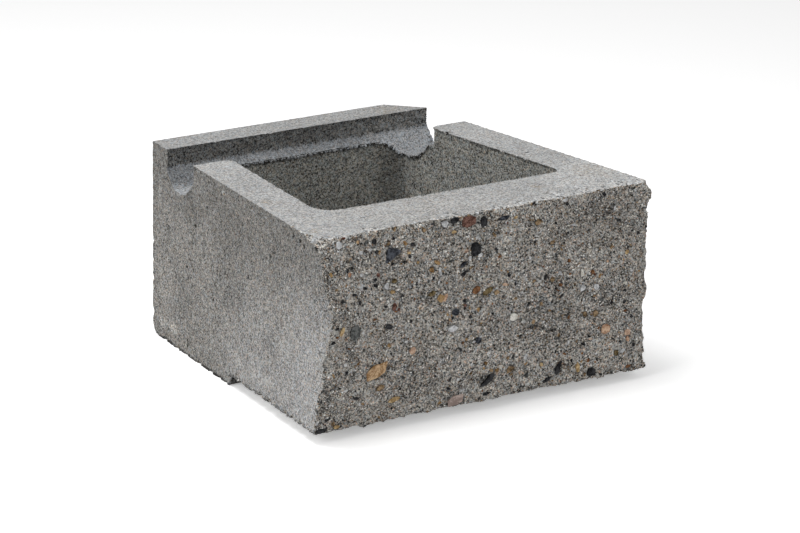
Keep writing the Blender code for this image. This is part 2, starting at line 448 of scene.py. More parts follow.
# Soft lighter and darker areas of each zone: middle in the photograph, full width and height in
# millimetres, and change of brightness. A rust area has the strength of its stain instead
Patch = namedtuple("Patch", "pixel width height change")
PATCHES = {
    "top": (
        Patch((600, 176), 170, 60, 0.23), Patch((490, 135), 90, 60, 0.06),
        Patch((248, 184), 70, 60, -0.08),
    ),
    "split": (
        Patch((480, 262), 26, 26, -0.16), Patch((600, 216), 110, 34, -0.16),
        Patch((640, 226), 34, 60, -0.12), Patch((487, 234), 48, 30, -0.18),
        Patch((380, 249), 46, 22, -0.16), Patch((356, 260), 40, 14, -0.12),
        Patch((496, 263), 34, 20, 0.12), Patch((432, 266), 60, 26, 0.08), Patch((590, 281), 42, 30, 0.16),
        Patch((545, 281), 26, 20, -0.10), Patch((350, 288), 44, 40, 0.10),
        Patch((540, 312), 110, 26, -0.08), Patch((357, 336), 60, 44, -0.16),
        Patch((456, 331), 56, 34, 0.20), Patch((348, 374), 30, 50, -0.14),
        Patch((328, 402), 34, 50, -0.16), Patch((372, 378), 40, 26, 0.08),
        # Painted light low on the split face, for light bounced up from the floor: the next two lines
        Patch((540, 352), 220, 34, 0.12), Patch((580, 366), 190, 34, 0.26),
        Patch((500, 388), 130, 26, 0.16), Patch((420, 402), 90, 30, 0.12),
        Patch((365, 265), 100, 60, -0.07), Patch((595, 232), 90, 50, -0.09),
        # Painted light low on the split face as well
        Patch((480, 358), 130, 40, 0.12),
    ),
    "core": (
        # Painted shade in the core's rear right corner
        Patch((391, 175), 40, 190, -0.40), Patch((404, 172), 50, 190, -0.22),
    ),
    "rust_top": (
        Patch((268, 202), 22, 60, 0.8), Patch((390, 111), 50, 40, 0.5), Patch((592, 170), 60, 60, 0.35),
        Patch((537, 186), 14, 20, 0.7), Patch((314, 231), 18, 20, 0.7), Patch((400, 205), 200, 80, 0.15),
    ),
    "rust_side": (
        Patch((179, 347), 7, 6, 1.6), Patch((211, 369), 7, 6, 1.6),
    ),
    "side": (
        Patch((173, 327), 40, 13, 0.70), Patch((162, 320), 30, 16, 0.45), Patch((160, 191), 9, 26, 0.70),
        Patch((163, 290), 60, 90, 0.16), Patch((190, 205), 90, 50, -0.14),
        Patch((236, 240), 120, 70, -0.19), Patch((231, 290), 90, 80, -0.16),
        Patch((181, 191), 30, 14, 0.25), Patch((304, 262), 30, 24, -0.12), Patch((237, 359), 50, 14, 0.14),
        Patch((262, 378), 60, 20, 0.16), Patch((268, 345), 40, 50, -0.08),
        Patch((183, 300), 60, 60, -0.08),
    ),
    "channel": (
        Patch((181, 191), 44, 12, 0.55), Patch((184, 176), 90, 30, -0.20),
        Patch((402, 138), 130, 44, 0.34),
    ),
    "rail_face": (
        Patch((395, 122), 150, 30, 0.30), Patch((190, 158), 120, 30, -0.10),
    ),
    "underside": (
        # Painted shadow on the lug's sloping front face under the step
        Patch((237, 379), 60, 50, -1.0),
    ),
}


def brightness(tree, place, finish):
    """How much lighter or darker than its base colour each spot of the concrete is."""
    tone = parts_of(tree, cells(tree, place, finish.grain)[1])[0]
    sand = ramp(tree, tone, 0.0, 1.0, -1.0, 1.0, smooth=False)
    light = total(
        tree, 1.0,
        product(tree, sand, finish.speckle),
        wobble(tree, place, finish.grain * 2.0, finish.contrast),
        wobble(tree, place, finish.grain * 6.0, finish.contrast * 0.65),
        *(wobble(tree, place, size, finish.mottle, 3.0) for size in MOTTLE_SIZES))
    return calc(tree, 'MAXIMUM', light, DARKEST_GRAIN)


def pores(tree, place, finish):
    """1 on sound concrete, lower in small pores of two sizes, where shade is painted."""
    sound = 1.0
    for spacing, rarity, reach in PORES:
        distance, colour = cells(tree, place, spacing)
        size = ramp(tree, parts_of(tree, colour)[1], rarity, 1.0, 0.0, reach, smooth=False)
        inside = calc(tree, 'LESS_THAN', distance, size)
        sound = minus(tree, sound, product(tree, inside, finish.pores))
    return calc(tree, 'MAXIMUM', sound, 0.15)


def patches(tree, place, zone):
    """Brightness of the soft areas of a zone."""
    faces = packed_faces()
    noise = coloured_noise(tree, place, WANDER_SIZE, 4.0)
    wander = vector(tree, 'SCALE', vector(tree, 'SUBTRACT', noise, (0.5, 0.5, 0.5)), WANDER_REACH)
    moved = vector(tree, 'ADD', place, wander)
    light = 1.0
    for patch in PATCHES.get(zone, ()):
        away = vector(tree, 'SUBTRACT', moved, tuple(picked(faces, patch.pixel)[0]))
        stretch = (2 / (patch.width * MILLIMETRE),) * 2 + (2 / (patch.height * MILLIMETRE),)
        reach = vector(tree, 'LENGTH', vector(tree, 'MULTIPLY', away, stretch), (0, 0, 0), output=1)
        light = total(tree, light, ramp(tree, reach, 0.25, 1.15, patch.change, 0.0))
    return light


# Partly a real pale bloom, partly painted light on the lower front of the sides
def bloom_and_light(tree, place):
    """How pale the sides are: behind the split arris at half height, and at the foot near the front."""
    _, y, z = parts_of(tree, place)
    wander = wobble(tree, place, 0.030, most=0.016, detail=4.0, roughness=0.65)
    along = total(tree, y, wander)
    height = total(tree, z, wander)
    front = ramp(tree, along, SPLIT_LINE, SPLIT_LINE + 0.110, 1.0, 0.0)
    low = ramp(tree, height, LUG_DROP, LUG_DROP + 0.150, 1.0, 0.0)
    fore = ramp(tree, along, SPLIT_LINE + 0.130, SPLIT_LINE + 0.260, 1.0, 0.0)
    mid = ramp(tree, height, TOP - 0.090, TOP - 0.005, 1.0, 0.0)
    return total(tree, product(tree, front, mid, BLOOM_AND_LIGHT_AT_ARRIS), product(tree, low, fore, BLOOM_AND_LIGHT_AT_FOOT))


def zone_colour(zone):
    """Base colour of a zone."""
    name = {"underside": "side", "rail_face": "rail"}.get(zone, zone) + "_colour"
    return tuple(getattr(bpy.context.scene.block_body, name))


def side_base(tree, place, colour):
    """Colour of the sides: darker towards the top and paler in the pale areas, partly painted shade and
    light.
    """
    height = parts_of(tree, place)[2]
    shade = ramp(tree, height, TOP - 0.110, TOP - 0.005, 1.04, 0.80)
    return vector(tree, 'SCALE', mixed(tree, bloom_and_light(tree, place), colour, BLOOM_AND_LIGHT_COLOUR), shade)


def channel_base(tree, place, colour):
    """Colour of the channel, which runs over softly from the rail's dark face to the slope."""
    height = total(tree, parts_of(tree, place)[2], wobble(tree, place, size=0.006, most=0.0012))
    share = ramp(tree, height, CHANNEL_KNEE - 0.0035, CHANNEL_KNEE + 0.0045, 0.0, 1.0)
    return mixed(tree, share, zone_colour("channel"), colour)


# How far behind the split line the top is still crumbly, and the spacing of the pits of painted shade
# there, which are longer from front to back
CRUMBLY_BAND = 0.012
CRUMBLY_PIT_SPACING = 0.0034
CRUMBLY_PIT_STRETCH = 0.60


def crumbly_share(tree, place):
    """1 at the top front arris, down to 0 where the top is sound; the band is wider on the right."""
    x, y, _ = parts_of(tree, place)
    wander = wobble(tree, place, size=0.030, most=0.012)
    along = total(tree, minus(tree, y, SPLIT_LINE), wander)
    width = ramp(tree, x, -0.03, 0.05, CRUMBLY_BAND, CRUMBLY_BAND * 2.2)
    return calc(tree, 'SUBTRACT', 1.0, calc(tree, 'DIVIDE', along, width, clamp=True), clamp=True)


def top_shade(tree, place):
    """Painted shade in pits of the crumbly top band, a painted highlight on its arris, and the duller rail
    top.
    """
    y = parts_of(tree, place)[1]
    band = crumbly_share(tree, place)
    drawn_back = vector(tree, 'MULTIPLY', place, (1.0, CRUMBLY_PIT_STRETCH, 1.0))
    distance, colour = cells(tree, drawn_back, CRUMBLY_PIT_SPACING)
    size = product(tree, parts_of(tree, colour)[0], calc(tree, 'POWER', band, 0.5), 0.66)
    pits = ramp(tree, minus(tree, distance, size), -0.08, 0.05, 0.28, 1.0)
    pale = ramp(tree, band, 0.55, 0.95, 1.0, 1.16)
    return product(tree, pits, pale, ramp(tree, y, RAIL_FRONT - 0.01, RAIL_FRONT, 1.0, 0.87))


def lip_shade(tree, place):
    """Painted shadow on the core's walls right under their upper lip: a dark line."""
    _, y, z = parts_of(tree, place)
    behind = minus(tree, y, RAIL_FRONT - CHANNEL_KNEE)
    before = minus(tree, CHANNEL_FRONT + CHANNEL_KNEE, y)
    slope = calc(tree, 'MAXIMUM', calc(tree, 'MAXIMUM', behind, before), CHANNEL_FLOOR)
    in_channel = calc(tree, 'GREATER_THAN', y, CHANNEL_FRONT)
    lip = total(tree, product(tree, minus(tree, slope, TOP), in_channel), TOP)
    below = total(tree, minus(tree, lip, z), wobble(tree, place, size=0.004, most=0.0018))
    deep = ramp(tree, below, 0.0010, 0.0056, 0.10, 1.0)
    shallow = ramp(tree, below, 0.0, 0.0042, 0.36, 1.0)
    return total(tree, shallow, product(tree, minus(tree, deep, shallow), in_channel))


def damp_and_shaded_foot(tree, place):
    """Darker broken concrete along the foot of the sides: partly damp, partly painted shade."""
    _, y, z = parts_of(tree, place)
    low = ramp(tree, z, 0.003, 0.020, 0.30, 1.0)
    aside = ramp(tree, y, SPLIT_LINE + 0.012, SPLIT_LINE + 0.030, 0.0, 1.0)
    return total(tree, product(tree, minus(tree, low, 1.0), aside), 1.0)


def foot_line(tree, place):
    """Dark uneven line where the sides end at the underside: partly dirt, partly painted shade."""
    _, y, z = parts_of(tree, place)
    raised = calc(tree, 'LESS_THAN', y, LUG_FRONT)
    height = minus(tree, z, product(tree, raised, LUG_DROP))
    height = total(tree, height, wobble(tree, place, size=0.006, most=0.0022, detail=4.0))
    darkest = total(tree, product(tree, raised, 0.40), 0.14)
    return ramp(tree, height, 0.0008, 0.0034, darkest, 1.0)


def split_shade(tree, place):
    """Damp and shaded foot, and a patchy painted highlight along the top arris of the broken concrete."""
    _, y, z = parts_of(tree, place)
    front = ramp(tree, y, SPLIT_LINE - 0.001, SPLIT_LINE + 0.004, 0.38, 0.0)
    patchy = ramp(tree, grain(tree, place, 0.0035), 0.42, 0.58)
    pale = product(tree, ramp(tree, z, TOP - 0.0045, TOP - 0.0010), front, patchy)
    return product(tree, damp_and_shaded_foot(tree, place), total(tree, pale, 1.0))


# Painted shade and highlight of each zone, partly damp and dirt; those without one are even
SHADES = {"top": top_shade, "side": foot_line, "core": lip_shade, "split": split_shade}


def zone_shade(tree, place, zone):
    """Mostly painted shade and highlight that make a zone lighter or darker, besides its soft areas."""
    return SHADES[zone](tree, place) if zone in SHADES else 1.0


def base_colour(tree, place, zone):
    """Colour of a zone before its grains, stains and pores."""
    if zone == "side":
        return side_base(tree, place, zone_colour(zone))
    if zone == "rail_face":
        return channel_base(tree, place, zone_colour(zone))
    return zone_colour(zone)


def tint(tree, place, finish):
    """Slightly warmer and cooler from one grain to the next."""
    most = TINT * finish.speckle
    turn = parts_of(tree, cells(tree, place, finish.grain * 1.6)[1])[1]
    turn = ramp(tree, turn, 0.0, 1.0, -most, most, smooth=False)
    warmer = total(tree, turn, 1.0)
    cooler = minus(tree, 1.0, turn)
    return node(tree, "ShaderNodeCombineXYZ", {0: warmer, 1: 1.0, 2: cooler}).outputs[0]


def calmed(tree, place, zone, light):
    """Less contrast between the grains where the sides are paler."""
    if zone != "side":
        return light
    calm = ramp(tree, bloom_and_light(tree, place), 0.0, BLOOM_AND_LIGHT_AT_FOOT, 0.0, BLOOM_AND_LIGHT_CALM, smooth=False)
    return total(tree, light, product(tree, minus(tree, 1.0, light), calm))


def rust(tree, place, zone):
    """How rusty each spot is: here and there all over, and where the photograph shows it."""
    finish = FINISHES[zone]
    seen = minus(tree, patches(tree, place, "rust_" + zone), 1.0)
    seen = product(tree, seen, ramp(tree, grain(tree, place, 0.0035, 3.0, 0.7), 0.42, 0.60))
    spread = ramp(tree, grain(tree, place, 0.011, 4.0, 0.7), 0.50, 0.75, 0.0, finish.stain * 2.0)
    return calc(tree, 'ADD', spread, seen, clamp=True)


def concrete(zone):
    """Sandy cement with grains of several tones, stains and pores."""
    finish = FINISHES[zone]
    material, tree, shader, place = new_material("concrete_" + zone, finish.roughness, specular=0.20)
    sound = pores(tree, place, finish)
    # Painted shade in the hollows
    hollow = ramp(tree, attribute(tree, "hollow"), 0.0, HOLLOW_DARK, 1.0, 0.15, smooth=False)
    # Lighter where worn: partly wear, partly a painted highlight on the arrises
    worn = ramp(tree, attribute(tree, "worn"), 0.1, 0.8, 1.0, 1.22)
    grains = calmed(tree, place, zone, brightness(tree, place, finish))
    light = product(tree, grains, sound, hollow, worn,
                    patches(tree, place, zone), zone_shade(tree, place, zone))
    base = base_colour(tree, place, zone)
    warm = parts_of(tree, cells(tree, place, finish.grain * 1.3)[1])[2]
    warm = ramp(tree, warm, 0.92, 0.97, 0.0, finish.warm, smooth=False)
    base = vector(tree, 'SCALE', vector(tree, 'MULTIPLY', base, tint(tree, place, finish)), light)
    base = mixed(tree, warm, base, WARM_COLOUR, 'MULTIPLY')
    stained = mixed(tree, rust(tree, place, zone), base, STAIN_COLOUR, 'MULTIPLY')
    tree.links.new(stained, shader.inputs["Base Color"])
    height = total(tree, grain(tree, place, finish.grain * 1.4, 3.0, 0.7), sound)
    add_bump(tree, shader, height, finish.bump, 0.0008)
    return material


# Body

# Inputs of the weathering tree; each takes the body's setting of the same name
WEATHERING = ("Sand Relief", "Sand Size", "Pit Depth", "Pit Spacing", "Broken Relief", "Broken Size",
              "Flake Step", "Void Depth", "Void Spacing", "Arris Wear", "Arris Grain")

# Depth of the holes and of the roughness in the crumbly band of the top
CRUMBLY_HOLE = 0.0020
CRUMBLY_ROUGH = 0.0014

# Width of the broken flakes, and how far their outlines wander
FLAKE_SIZE = 0.019
FLAKE_WANDER = 0.022


def hole(tree, place, spacing, rarity, radius):
    """1 in the middle of scattered round holes, 0 outside them."""
    distance, colour = cells(tree, place, spacing)
    size = ramp(tree, parts_of(tree, colour)[0], rarity, 1.0, 0.0, radius, smooth=False)
    return ramp(tree, distance, size, product(tree, size, 0.3))


def cast_depth(tree, place, normal, entry):
    """Depth of a cast face's skin and pits, the pits alone, and where the top is crumbly."""
    sand = product(tree, grain(tree, place, entry["Sand Size"], 3.0, 0.75), entry["Sand Relief"])
    pit = hole(tree, place, entry["Pit Spacing"], rarity=0.60, radius=0.14)
    crumbly = product(tree, crumbly_share(tree, place), ramp(tree, parts_of(tree, normal)[2], 0.5, 0.8))
    gap = product(tree, hole(tree, place, 0.0050, rarity=0.25, radius=0.36), crumbly)
    rough = product(tree, grain(tree, place, 0.004, 2.0), crumbly, CRUMBLY_ROUGH)
    depth = total(tree, sand, product(tree, pit, entry["Pit Depth"]),
                  product(tree, gap, CRUMBLY_HOLE), rough)
    return depth, calc(tree, 'MAXIMUM', pit, gap), crumbly


def broken_depth(tree, place, entry):
    """Depth of the lumps, flakes and voids of the split face, and the voids alone."""
    lumps = ramp(tree, grain(tree, place, entry["Broken Size"], 6.0, 0.74), 0.17, 0.83, -1.0, 1.0, False)
    wander = vector(tree, 'SCALE', coloured_noise(tree, place, 0.02), FLAKE_WANDER)
    shifted = vector(tree, 'ADD', wander, place)
    flake = minus(tree, parts_of(tree, cells(tree, shifted, FLAKE_SIZE)[1])[0], 0.5)
    void = hole(tree, place, entry["Void Spacing"], rarity=0.66, radius=0.21)
    depth = total(tree, product(tree, lumps, entry["Broken Relief"]),
                  product(tree, flake, entry["Flake Step"]), product(tree, void, entry["Void Depth"]))
    return depth, void


# The even cells cut the arrises off by this much, so they are brought out again
ARRIS_LIFT = 0.0014

# How far the surface stands out from its smoothed self where an arris begins, where it can be nibbled
# most, and at the arris itself
ARRIS_START = 0.0003
ARRIS_NIBBLED = 0.0013
ARRIS_FULL = 0.0010


def arris_share(tree, place, normal, entry):
    """How far the surface is rubbed down beside an outer edge, and where the edge itself is."""
    blurred = node(tree, "GeometryNodeBlurAttribute", {"Iterations": 9}, data_type='FLOAT_VECTOR')
    tree.links.new(place, next(s for s in blurred.inputs if s.enabled and s.type == 'VECTOR'))
    smooth_place = next(s for s in blurred.outputs if s.enabled)
    bulge = vector(tree, 'DOT_PRODUCT', vector(tree, 'SUBTRACT', place, smooth_place), normal, output=1)
    near = ramp(tree, bulge, ARRIS_START, ARRIS_NIBBLED)
    small = ramp(tree, grain(tree, place, entry["Arris Grain"], 3.0, 0.65), 0.47, 0.68, 0.0, 0.65)
    large = ramp(tree, grain(tree, place, calc(tree, 'MULTIPLY', entry["Arris Grain"], 2.7), 2.0),
                 0.57, 0.72, 0.0, 0.7)
    return product(tree, near, total(tree, small, large)), ramp(tree, bulge, ARRIS_START, ARRIS_FULL)


def weathering_tree():
    """Sandy skin, pits, broken relief and nibbled arrises, all along the surface's normal."""
    tree, entry = geometry_tree("weathered_surface", WEATHERING)
    place = node(tree, "GeometryNodeInputPosition").outputs[0]
    normal = node(tree, "GeometryNodeInputNormal").outputs[0]
    near_front = calc(tree, 'LESS_THAN', parts_of(tree, place)[1], SPLIT_LINE + SPLIT_REACH)
    broken = product(tree, ramp(tree, parts_of(tree, normal)[1], -0.62, -0.36, 1.0, 0.0), near_front)
    cast = minus(tree, 1.0, broken)
    cast_in, pit, crumbly = cast_depth(tree, place, normal, entry)
    broken_in, void = broken_depth(tree, place, entry)
    worn, arris = arris_share(tree, place, normal, entry)
    depth = total(tree, product(tree, cast_in, cast), product(tree, broken_in, broken),
                  product(tree, worn, entry["Arris Wear"]), product(tree, arris, -ARRIS_LIFT))
    # Pits, holes and voids are kept as hollow, and get painted shade
    hollow = calc(tree, 'MAXIMUM', product(tree, pit, cast), product(tree, void, broken))
    # Arrises and the crumbly top band are painted lighter: partly wear, partly a painted highlight
    worn = calc(tree, 'MAXIMUM', worn, product(tree, crumbly, 0.7))
    geometry = keep_attribute(tree, entry["Geometry"], "facing", normal, 'FLOAT_VECTOR')
    geometry = keep_attribute(tree, geometry, "hollow", hollow)
    geometry = keep_attribute(tree, geometry, "worn", worn)
    inward = vector(tree, 'SCALE', normal, product(tree, depth, -1.0))
    moved = node(tree, "GeometryNodeSetPosition", {"Geometry": geometry, "Offset": inward})
    node(tree, "NodeGroupOutput", {0: moved.outputs[0]})
    return tree


def merged_copy(name):
    """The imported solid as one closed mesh, with its doubles merged."""
    shape = bmesh.new()
    shape.from_mesh(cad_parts[NODE].data)
    bmesh.ops.remove_doubles(shape, verts=shape.verts, dist=0.01 * MILLIMETRE)
    mesh = bpy.data.meshes.new(name)
    shape.to_mesh(mesh)
    shape.free()
    return new_object(name, mesh)


def weather(body, values):
    """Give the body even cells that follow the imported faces, and weather them."""
    remesh = body.modifiers.new("cells", 'REMESH')
    remesh.mode = 'VOXEL'
    remesh.voxel_size = values.voxel
    wrap = body.modifiers.new("on_faces", 'SHRINKWRAP')
    wrap.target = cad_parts[NODE]
    wrap.wrap_method = 'NEAREST_SURFACEPOINT'
    use_tree(body, weathering_tree(),
             {size: getattr(values, size.lower().replace(" ", "_")) for size in WEATHERING})
    settle(body, "block_cells")


def thin(body, triangles):
    """Bring the body down to a number of triangles, fewest where it is flat."""
    body.data.calc_loop_triangles()
    fewer = body.modifiers.new("fewer", 'DECIMATE')
    fewer.ratio = min(1.0, triangles / len(body.data.loop_triangles))
    fewer.use_collapse_triangulate = True
    settle(body, "block_body")


def read_points(mesh):
    """Vertex places as rows of an array."""
    points = np.empty(len(mesh.vertices) * 3, np.float32)
    mesh.vertices.foreach_get("co", points)
    return points.reshape(-1, 3)


def read_attribute(mesh, name, key="value"):
    """Values of a mesh's attribute: one for each vertex, or three in a row for a vector."""
    values = np.empty(len(mesh.vertices) * (3 if key == "vector" else 1), np.float32)
    mesh.attributes[name].data.foreach_get(key, values)
    return values


def write_points(mesh, points):
    """Put vertex places back."""
    mesh.vertices.foreach_set("co", np.ascontiguousarray(points, np.float32).ravel())
    mesh.update()


def keep_in_box(mesh):
    """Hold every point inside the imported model's box."""
    write_points(mesh, np.clip(read_points(mesh), np.array(LOW), np.array(HIGH)))


# Chips out of the arrises, which bare broken concrete: middle in the photograph, radius and
# depth in millimetres, and the sideways direction that the chip's hollow opens to
Chip = namedtuple("Chip", "pixel radius depth opening")
LEFT_FOOT = (-1.0, 0.0, -1.0)
LEFT_TOP = (-1.0, 0.0, 1.0)
FRONT_TOP = (0.0, -1.0, 1.0)
RIGHT_EDGE = (1.0, -0.2, 0.0)
CHIPS = (
    Chip((165.5, 337.5), 5, 1.2, LEFT_FOOT), Chip((177.5, 346.5), 5, 0.2, LEFT_FOOT),
    Chip((186.5, 353.5), 6, 0.3, LEFT_FOOT), Chip((199.5, 362), 6, 0.6, LEFT_FOOT),
    Chip((211, 370), 5, 1.2, LEFT_FOOT), Chip((219.5, 376), 5, 0.6, LEFT_FOOT),
    Chip((226, 380.5), 4, 0.2, LEFT_FOOT), Chip((253, 391), 5, 2.4, LEFT_FOOT),
    Chip((260, 396), 6, 3.6, LEFT_FOOT), Chip((269, 399.5), 6, 1.6, LEFT_FOOT),
    Chip((285, 411.5), 5, 0.8, LEFT_FOOT), Chip((292, 418.5), 5, 2.4, LEFT_FOOT),
    Chip((299.5, 420.5), 6, 0.9, LEFT_FOOT), Chip((308, 428.5), 5, 0.2, LEFT_FOOT),
    Chip((292.5, 226), 4, 1.2, LEFT_TOP), Chip((300.5, 231.5), 5, 1.6, LEFT_TOP),
    Chip((309.5, 238), 8, 2, LEFT_TOP), Chip((318, 243), 8, 2.2, FRONT_TOP),
    Chip((330, 241.5), 8, 2.6, FRONT_TOP), Chip((344, 237.5), 7, 2, FRONT_TOP),
    Chip((366, 234), 6, 1.5, FRONT_TOP), Chip((418, 224), 7, 1.8, FRONT_TOP),
    Chip((452, 216.5), 7, 2, FRONT_TOP), Chip((505, 208), 8, 1.6, FRONT_TOP),
    Chip((530, 205.5), 6, 2, FRONT_TOP), Chip((600, 192.5), 8, 1.6, FRONT_TOP),
    Chip((446.5, 133.5), 4, 1.5, LEFT_TOP), Chip((223, 194), 3, 1, LEFT_TOP),
    Chip((648, 184), 12, 3.8, (1, -0.3, 1)), Chip((647, 205), 10, 2.4, RIGHT_EDGE),
    Chip((644, 276), 14, 0.8, RIGHT_EDGE), Chip((643, 306), 18, 2.2, RIGHT_EDGE),
    Chip((643, 320), 20, 1.2, RIGHT_EDGE), Chip((643.2, 342), 26, 0.9, RIGHT_EDGE),
    Chip((643, 331.5), 7, 3.2, RIGHT_EDGE), Chip((642.5, 357), 7, 1.6, RIGHT_EDGE),
)


# Rims that small crumbs have come off: height, whether the rim is the core's, share of places
# that lost a crumb, largest crumb in millimetres, and whether it bares the concrete inside
Rim = namedtuple("Rim", "height inner share largest bared")
RIMS = (
    Rim(TOP, False, 0.12, 2.0, False), Rim(TOP, True, 0.50, 2.8, False),
    Rim(LUG_DROP, False, 0.12, 3.0, True), Rim(LOW.z, False, 0.12, 3.0, True),
    Rim(LOW.z, True, 0.30, 3.5, False), Rim(CHANNEL_FLOOR - 0.001, True, 0.45, 3.0, False),
)
RIM_PLACES = 480
RIM_SINK = 0.0012
CRUMB_SPLIT_SHARE = 0.85

# Where the rays to the rims and to the lip start: inside the core, and how far outside the block
INSIDE_CORE = 0.03
OUTSIDE_BLOCK = 0.6


def channel_surface(y):
    """Height of the channel's surface at a distance along the block."""
    return max(CHANNEL_FLOOR, CHANNEL_KNEE - (RAIL_FRONT - y), CHANNEL_KNEE - (y - CHANNEL_FRONT))


def lip_places(faces, turns):
    """Places where the channel's surface ends at the core's wall, and the wall's direction there."""
    places = []
    for turn in turns:
        away = Vector((math.cos(turn), math.sin(turn), 0))
        place, outward, _, _ = faces.ray_cast(Vector((0, INSIDE_CORE, CHANNEL_FLOOR - 0.002)), away)
        if place is not None and place.y > CHANNEL_FRONT:
            places.append((Vector((place.x, place.y, channel_surface(place.y))), outward))
    return places


def crumbs(values):
    """Centre, radius and baring of the crumbs that are gone from the rims."""
    faces = packed_faces()
    dice = random.Random(values.seed)
    gone = []
    for rim in RIMS:
        sink = RIM_SINK if rim.height < TOP / 2 else -RIM_SINK
        for number in range(RIM_PLACES):
            turn = 2 * math.pi * (number + dice.random()) / RIM_PLACES
            away = Vector((math.cos(turn), math.sin(turn), 0))
            start = Vector((0, INSIDE_CORE, rim.height + sink)) + away * (0 if rim.inner else OUTSIDE_BLOCK)
            place, outward, _, _ = faces.ray_cast(start, away if rim.inner else -away)
            chance, size, lean, deep = (dice.random() for _ in range(4))
            height = rim.height
            if place is None or abs(outward.z) > 0.5:
                continue
            if rim.inner and TOP / 2 < height < TOP:
                if place.y < CHANNEL_FRONT:
                    continue
                height = channel_surface(place.y)
            front = height == TOP and outward.y < -0.5 and place.y < CORE_FRONT
            share = CRUMB_SPLIT_SHARE if front else rim.share
            if chance < share:
                radius = MILLIMETRE * (1.0 + (rim.largest - 1.0) * size ** 1.5)
                opening = outward * (0.6 + 0.8 * lean) - Vector((0, 0, math.copysign(1, sink)))
                arris = Vector((place.x, place.y, height))
                gone.append((arris + opening.normalized() * radius * (0.2 + 0.5 * deep), radius, rim.bared))
    return gone


def scoop(points, values):
    """Press a round hollow into the surface at each chip and crumb; gives where the inside is bared."""
    faces = packed_faces()
    bared = np.zeros(len(points))
    hollows = crumbs(values)
    for chip in CHIPS:
        radius = chip.radius * MILLIMETRE
        opening = Vector(chip.opening).normalized()
        middle = picked(faces, chip.pixel)[0] + opening * (radius - chip.depth * MILLIMETRE)
        hollows.append((middle, radius, True))
    order = np.argsort(points[:, 0])
    across = points[order, 0]
    for middle, radius, bares in hollows:
        first, last = np.searchsorted(across, (middle.x - radius, middle.x + radius))
        near = order[first:last]
        away = points[near] - np.array(middle)
        reach = np.linalg.norm(away, axis=1)
        near, away, reach = near[reach < radius], away[reach < radius], reach[reach < radius]
        points[near] = np.array(middle) + away * (radius / np.maximum(reach, 1e-6))[:, None]
        bared[near] = np.maximum(bared[near], float(bares))
    return bared


# Pits: middle in the photograph, width and height in millimetres on the face
Pit = namedtuple("Pit", "pixel width height")
PIT_DEPTH = 0.0026
PIT_REACH = 0.004
PITS = (
    Pit((175.3, 275.3), 4.5, 8), Pit((187, 342.7), 5, 10), Pit((207, 208), 5, 4), Pit((195.3, 226), 5, 4),
    Pit((168.4, 227.6), 5, 4), Pit((186.7, 267), 4.5, 4), Pit((204, 254.6), 4.5, 4),
    Pit((270, 256.3), 5, 4), Pit((247.6, 276.4), 4.5, 4), Pit((293, 235.7), 5, 5),
    Pit((299.8, 241.4), 5, 5), Pit((303.8, 246.6), 4.5, 4), Pit((315.9, 249.5), 6, 5),
    Pit((275.2, 186.4), 3.5, 3), Pit((446.5, 133), 4, 5), Pit((527, 152), 4, 4), Pit((581, 175), 4, 4),
    Pit((363, 217), 4, 5), Pit((230, 320), 4, 4), Pit((213, 300), 4, 4), Pit((352, 268), 6, 4),
    Pit((447, 212.5), 5, 3), Pit((455, 312), 5, 4), Pit((388, 241.5), 5, 3), Pit((521, 336), 6, 4),
    Pit((405, 262), 5, 4),
)


def press_pits(points, hollow):
    """Press each pit into the surface and mark it as hollow, which is painted shade."""
    faces = packed_faces()
    for pit in PITS:
        middle, outward = picked(faces, pit.pixel)
        level = Vector((0, 0, 1)) if abs(outward.z) < 0.7 else Vector((0, 1, 0))
        up = (level - outward * level.dot(outward)).normalized()
        away = points - np.array(middle)
        u = away @ np.array(up.cross(outward)) / (pit.width / 2 * MILLIMETRE)
        v = away @ np.array(up) / (pit.height / 2 * MILLIMETRE)
        ring = np.hypot(u, v)
        near = (ring < 1.0) & (np.abs(away @ np.array(outward)) < PIT_REACH)
        points[near] -= (PIT_DEPTH * (1 - ring[near] ** 2))[:, None] * np.array(outward)
        hollow[near] = HOLLOW_DARK


# Cracks of the split face, darkened with painted shade, as places in the photograph: beside a lifted
# flake, and along the ragged left edge
CRACKS = (
    ((530.5, 326.5), (537.0, 326.0), (543.5, 328.5), (549.0, 331.5), (554.0, 330.0)),
    ((328.4, 357.3), (324.8, 363.3), (324.2, 378.4), (324.0, 391.5)),
    ((324.4, 391.8), (331.0, 389.5), (340.0, 386.5)), ((316.5, 411.0), (321.0, 407.8)),
)
CRACK_WIDTH = 0.0013
CRACK_DEPTH = 0.0022


def open_cracks(points, hollow):
    """Press crooked grooves into the split face and mark them as hollow, which is painted shade."""
    faces = packed_faces()
    for crack in CRACKS:
        route = [np.array(picked(faces, pixel)[0]) for pixel in crack]
        for start, end in zip(route, route[1:]):
            run = end - start
            along = np.clip((points - start) @ run / (run @ run), 0, 1)
            reach = np.linalg.norm(points - start - along[:, None] * run, axis=1)
            share = np.clip(1.6 - reach / CRACK_WIDTH, 0, 1)
            points[:, 1] += share * CRACK_DEPTH * (hollow < HOLLOW_BARE)
            hollow[:] = np.maximum(hollow, share)


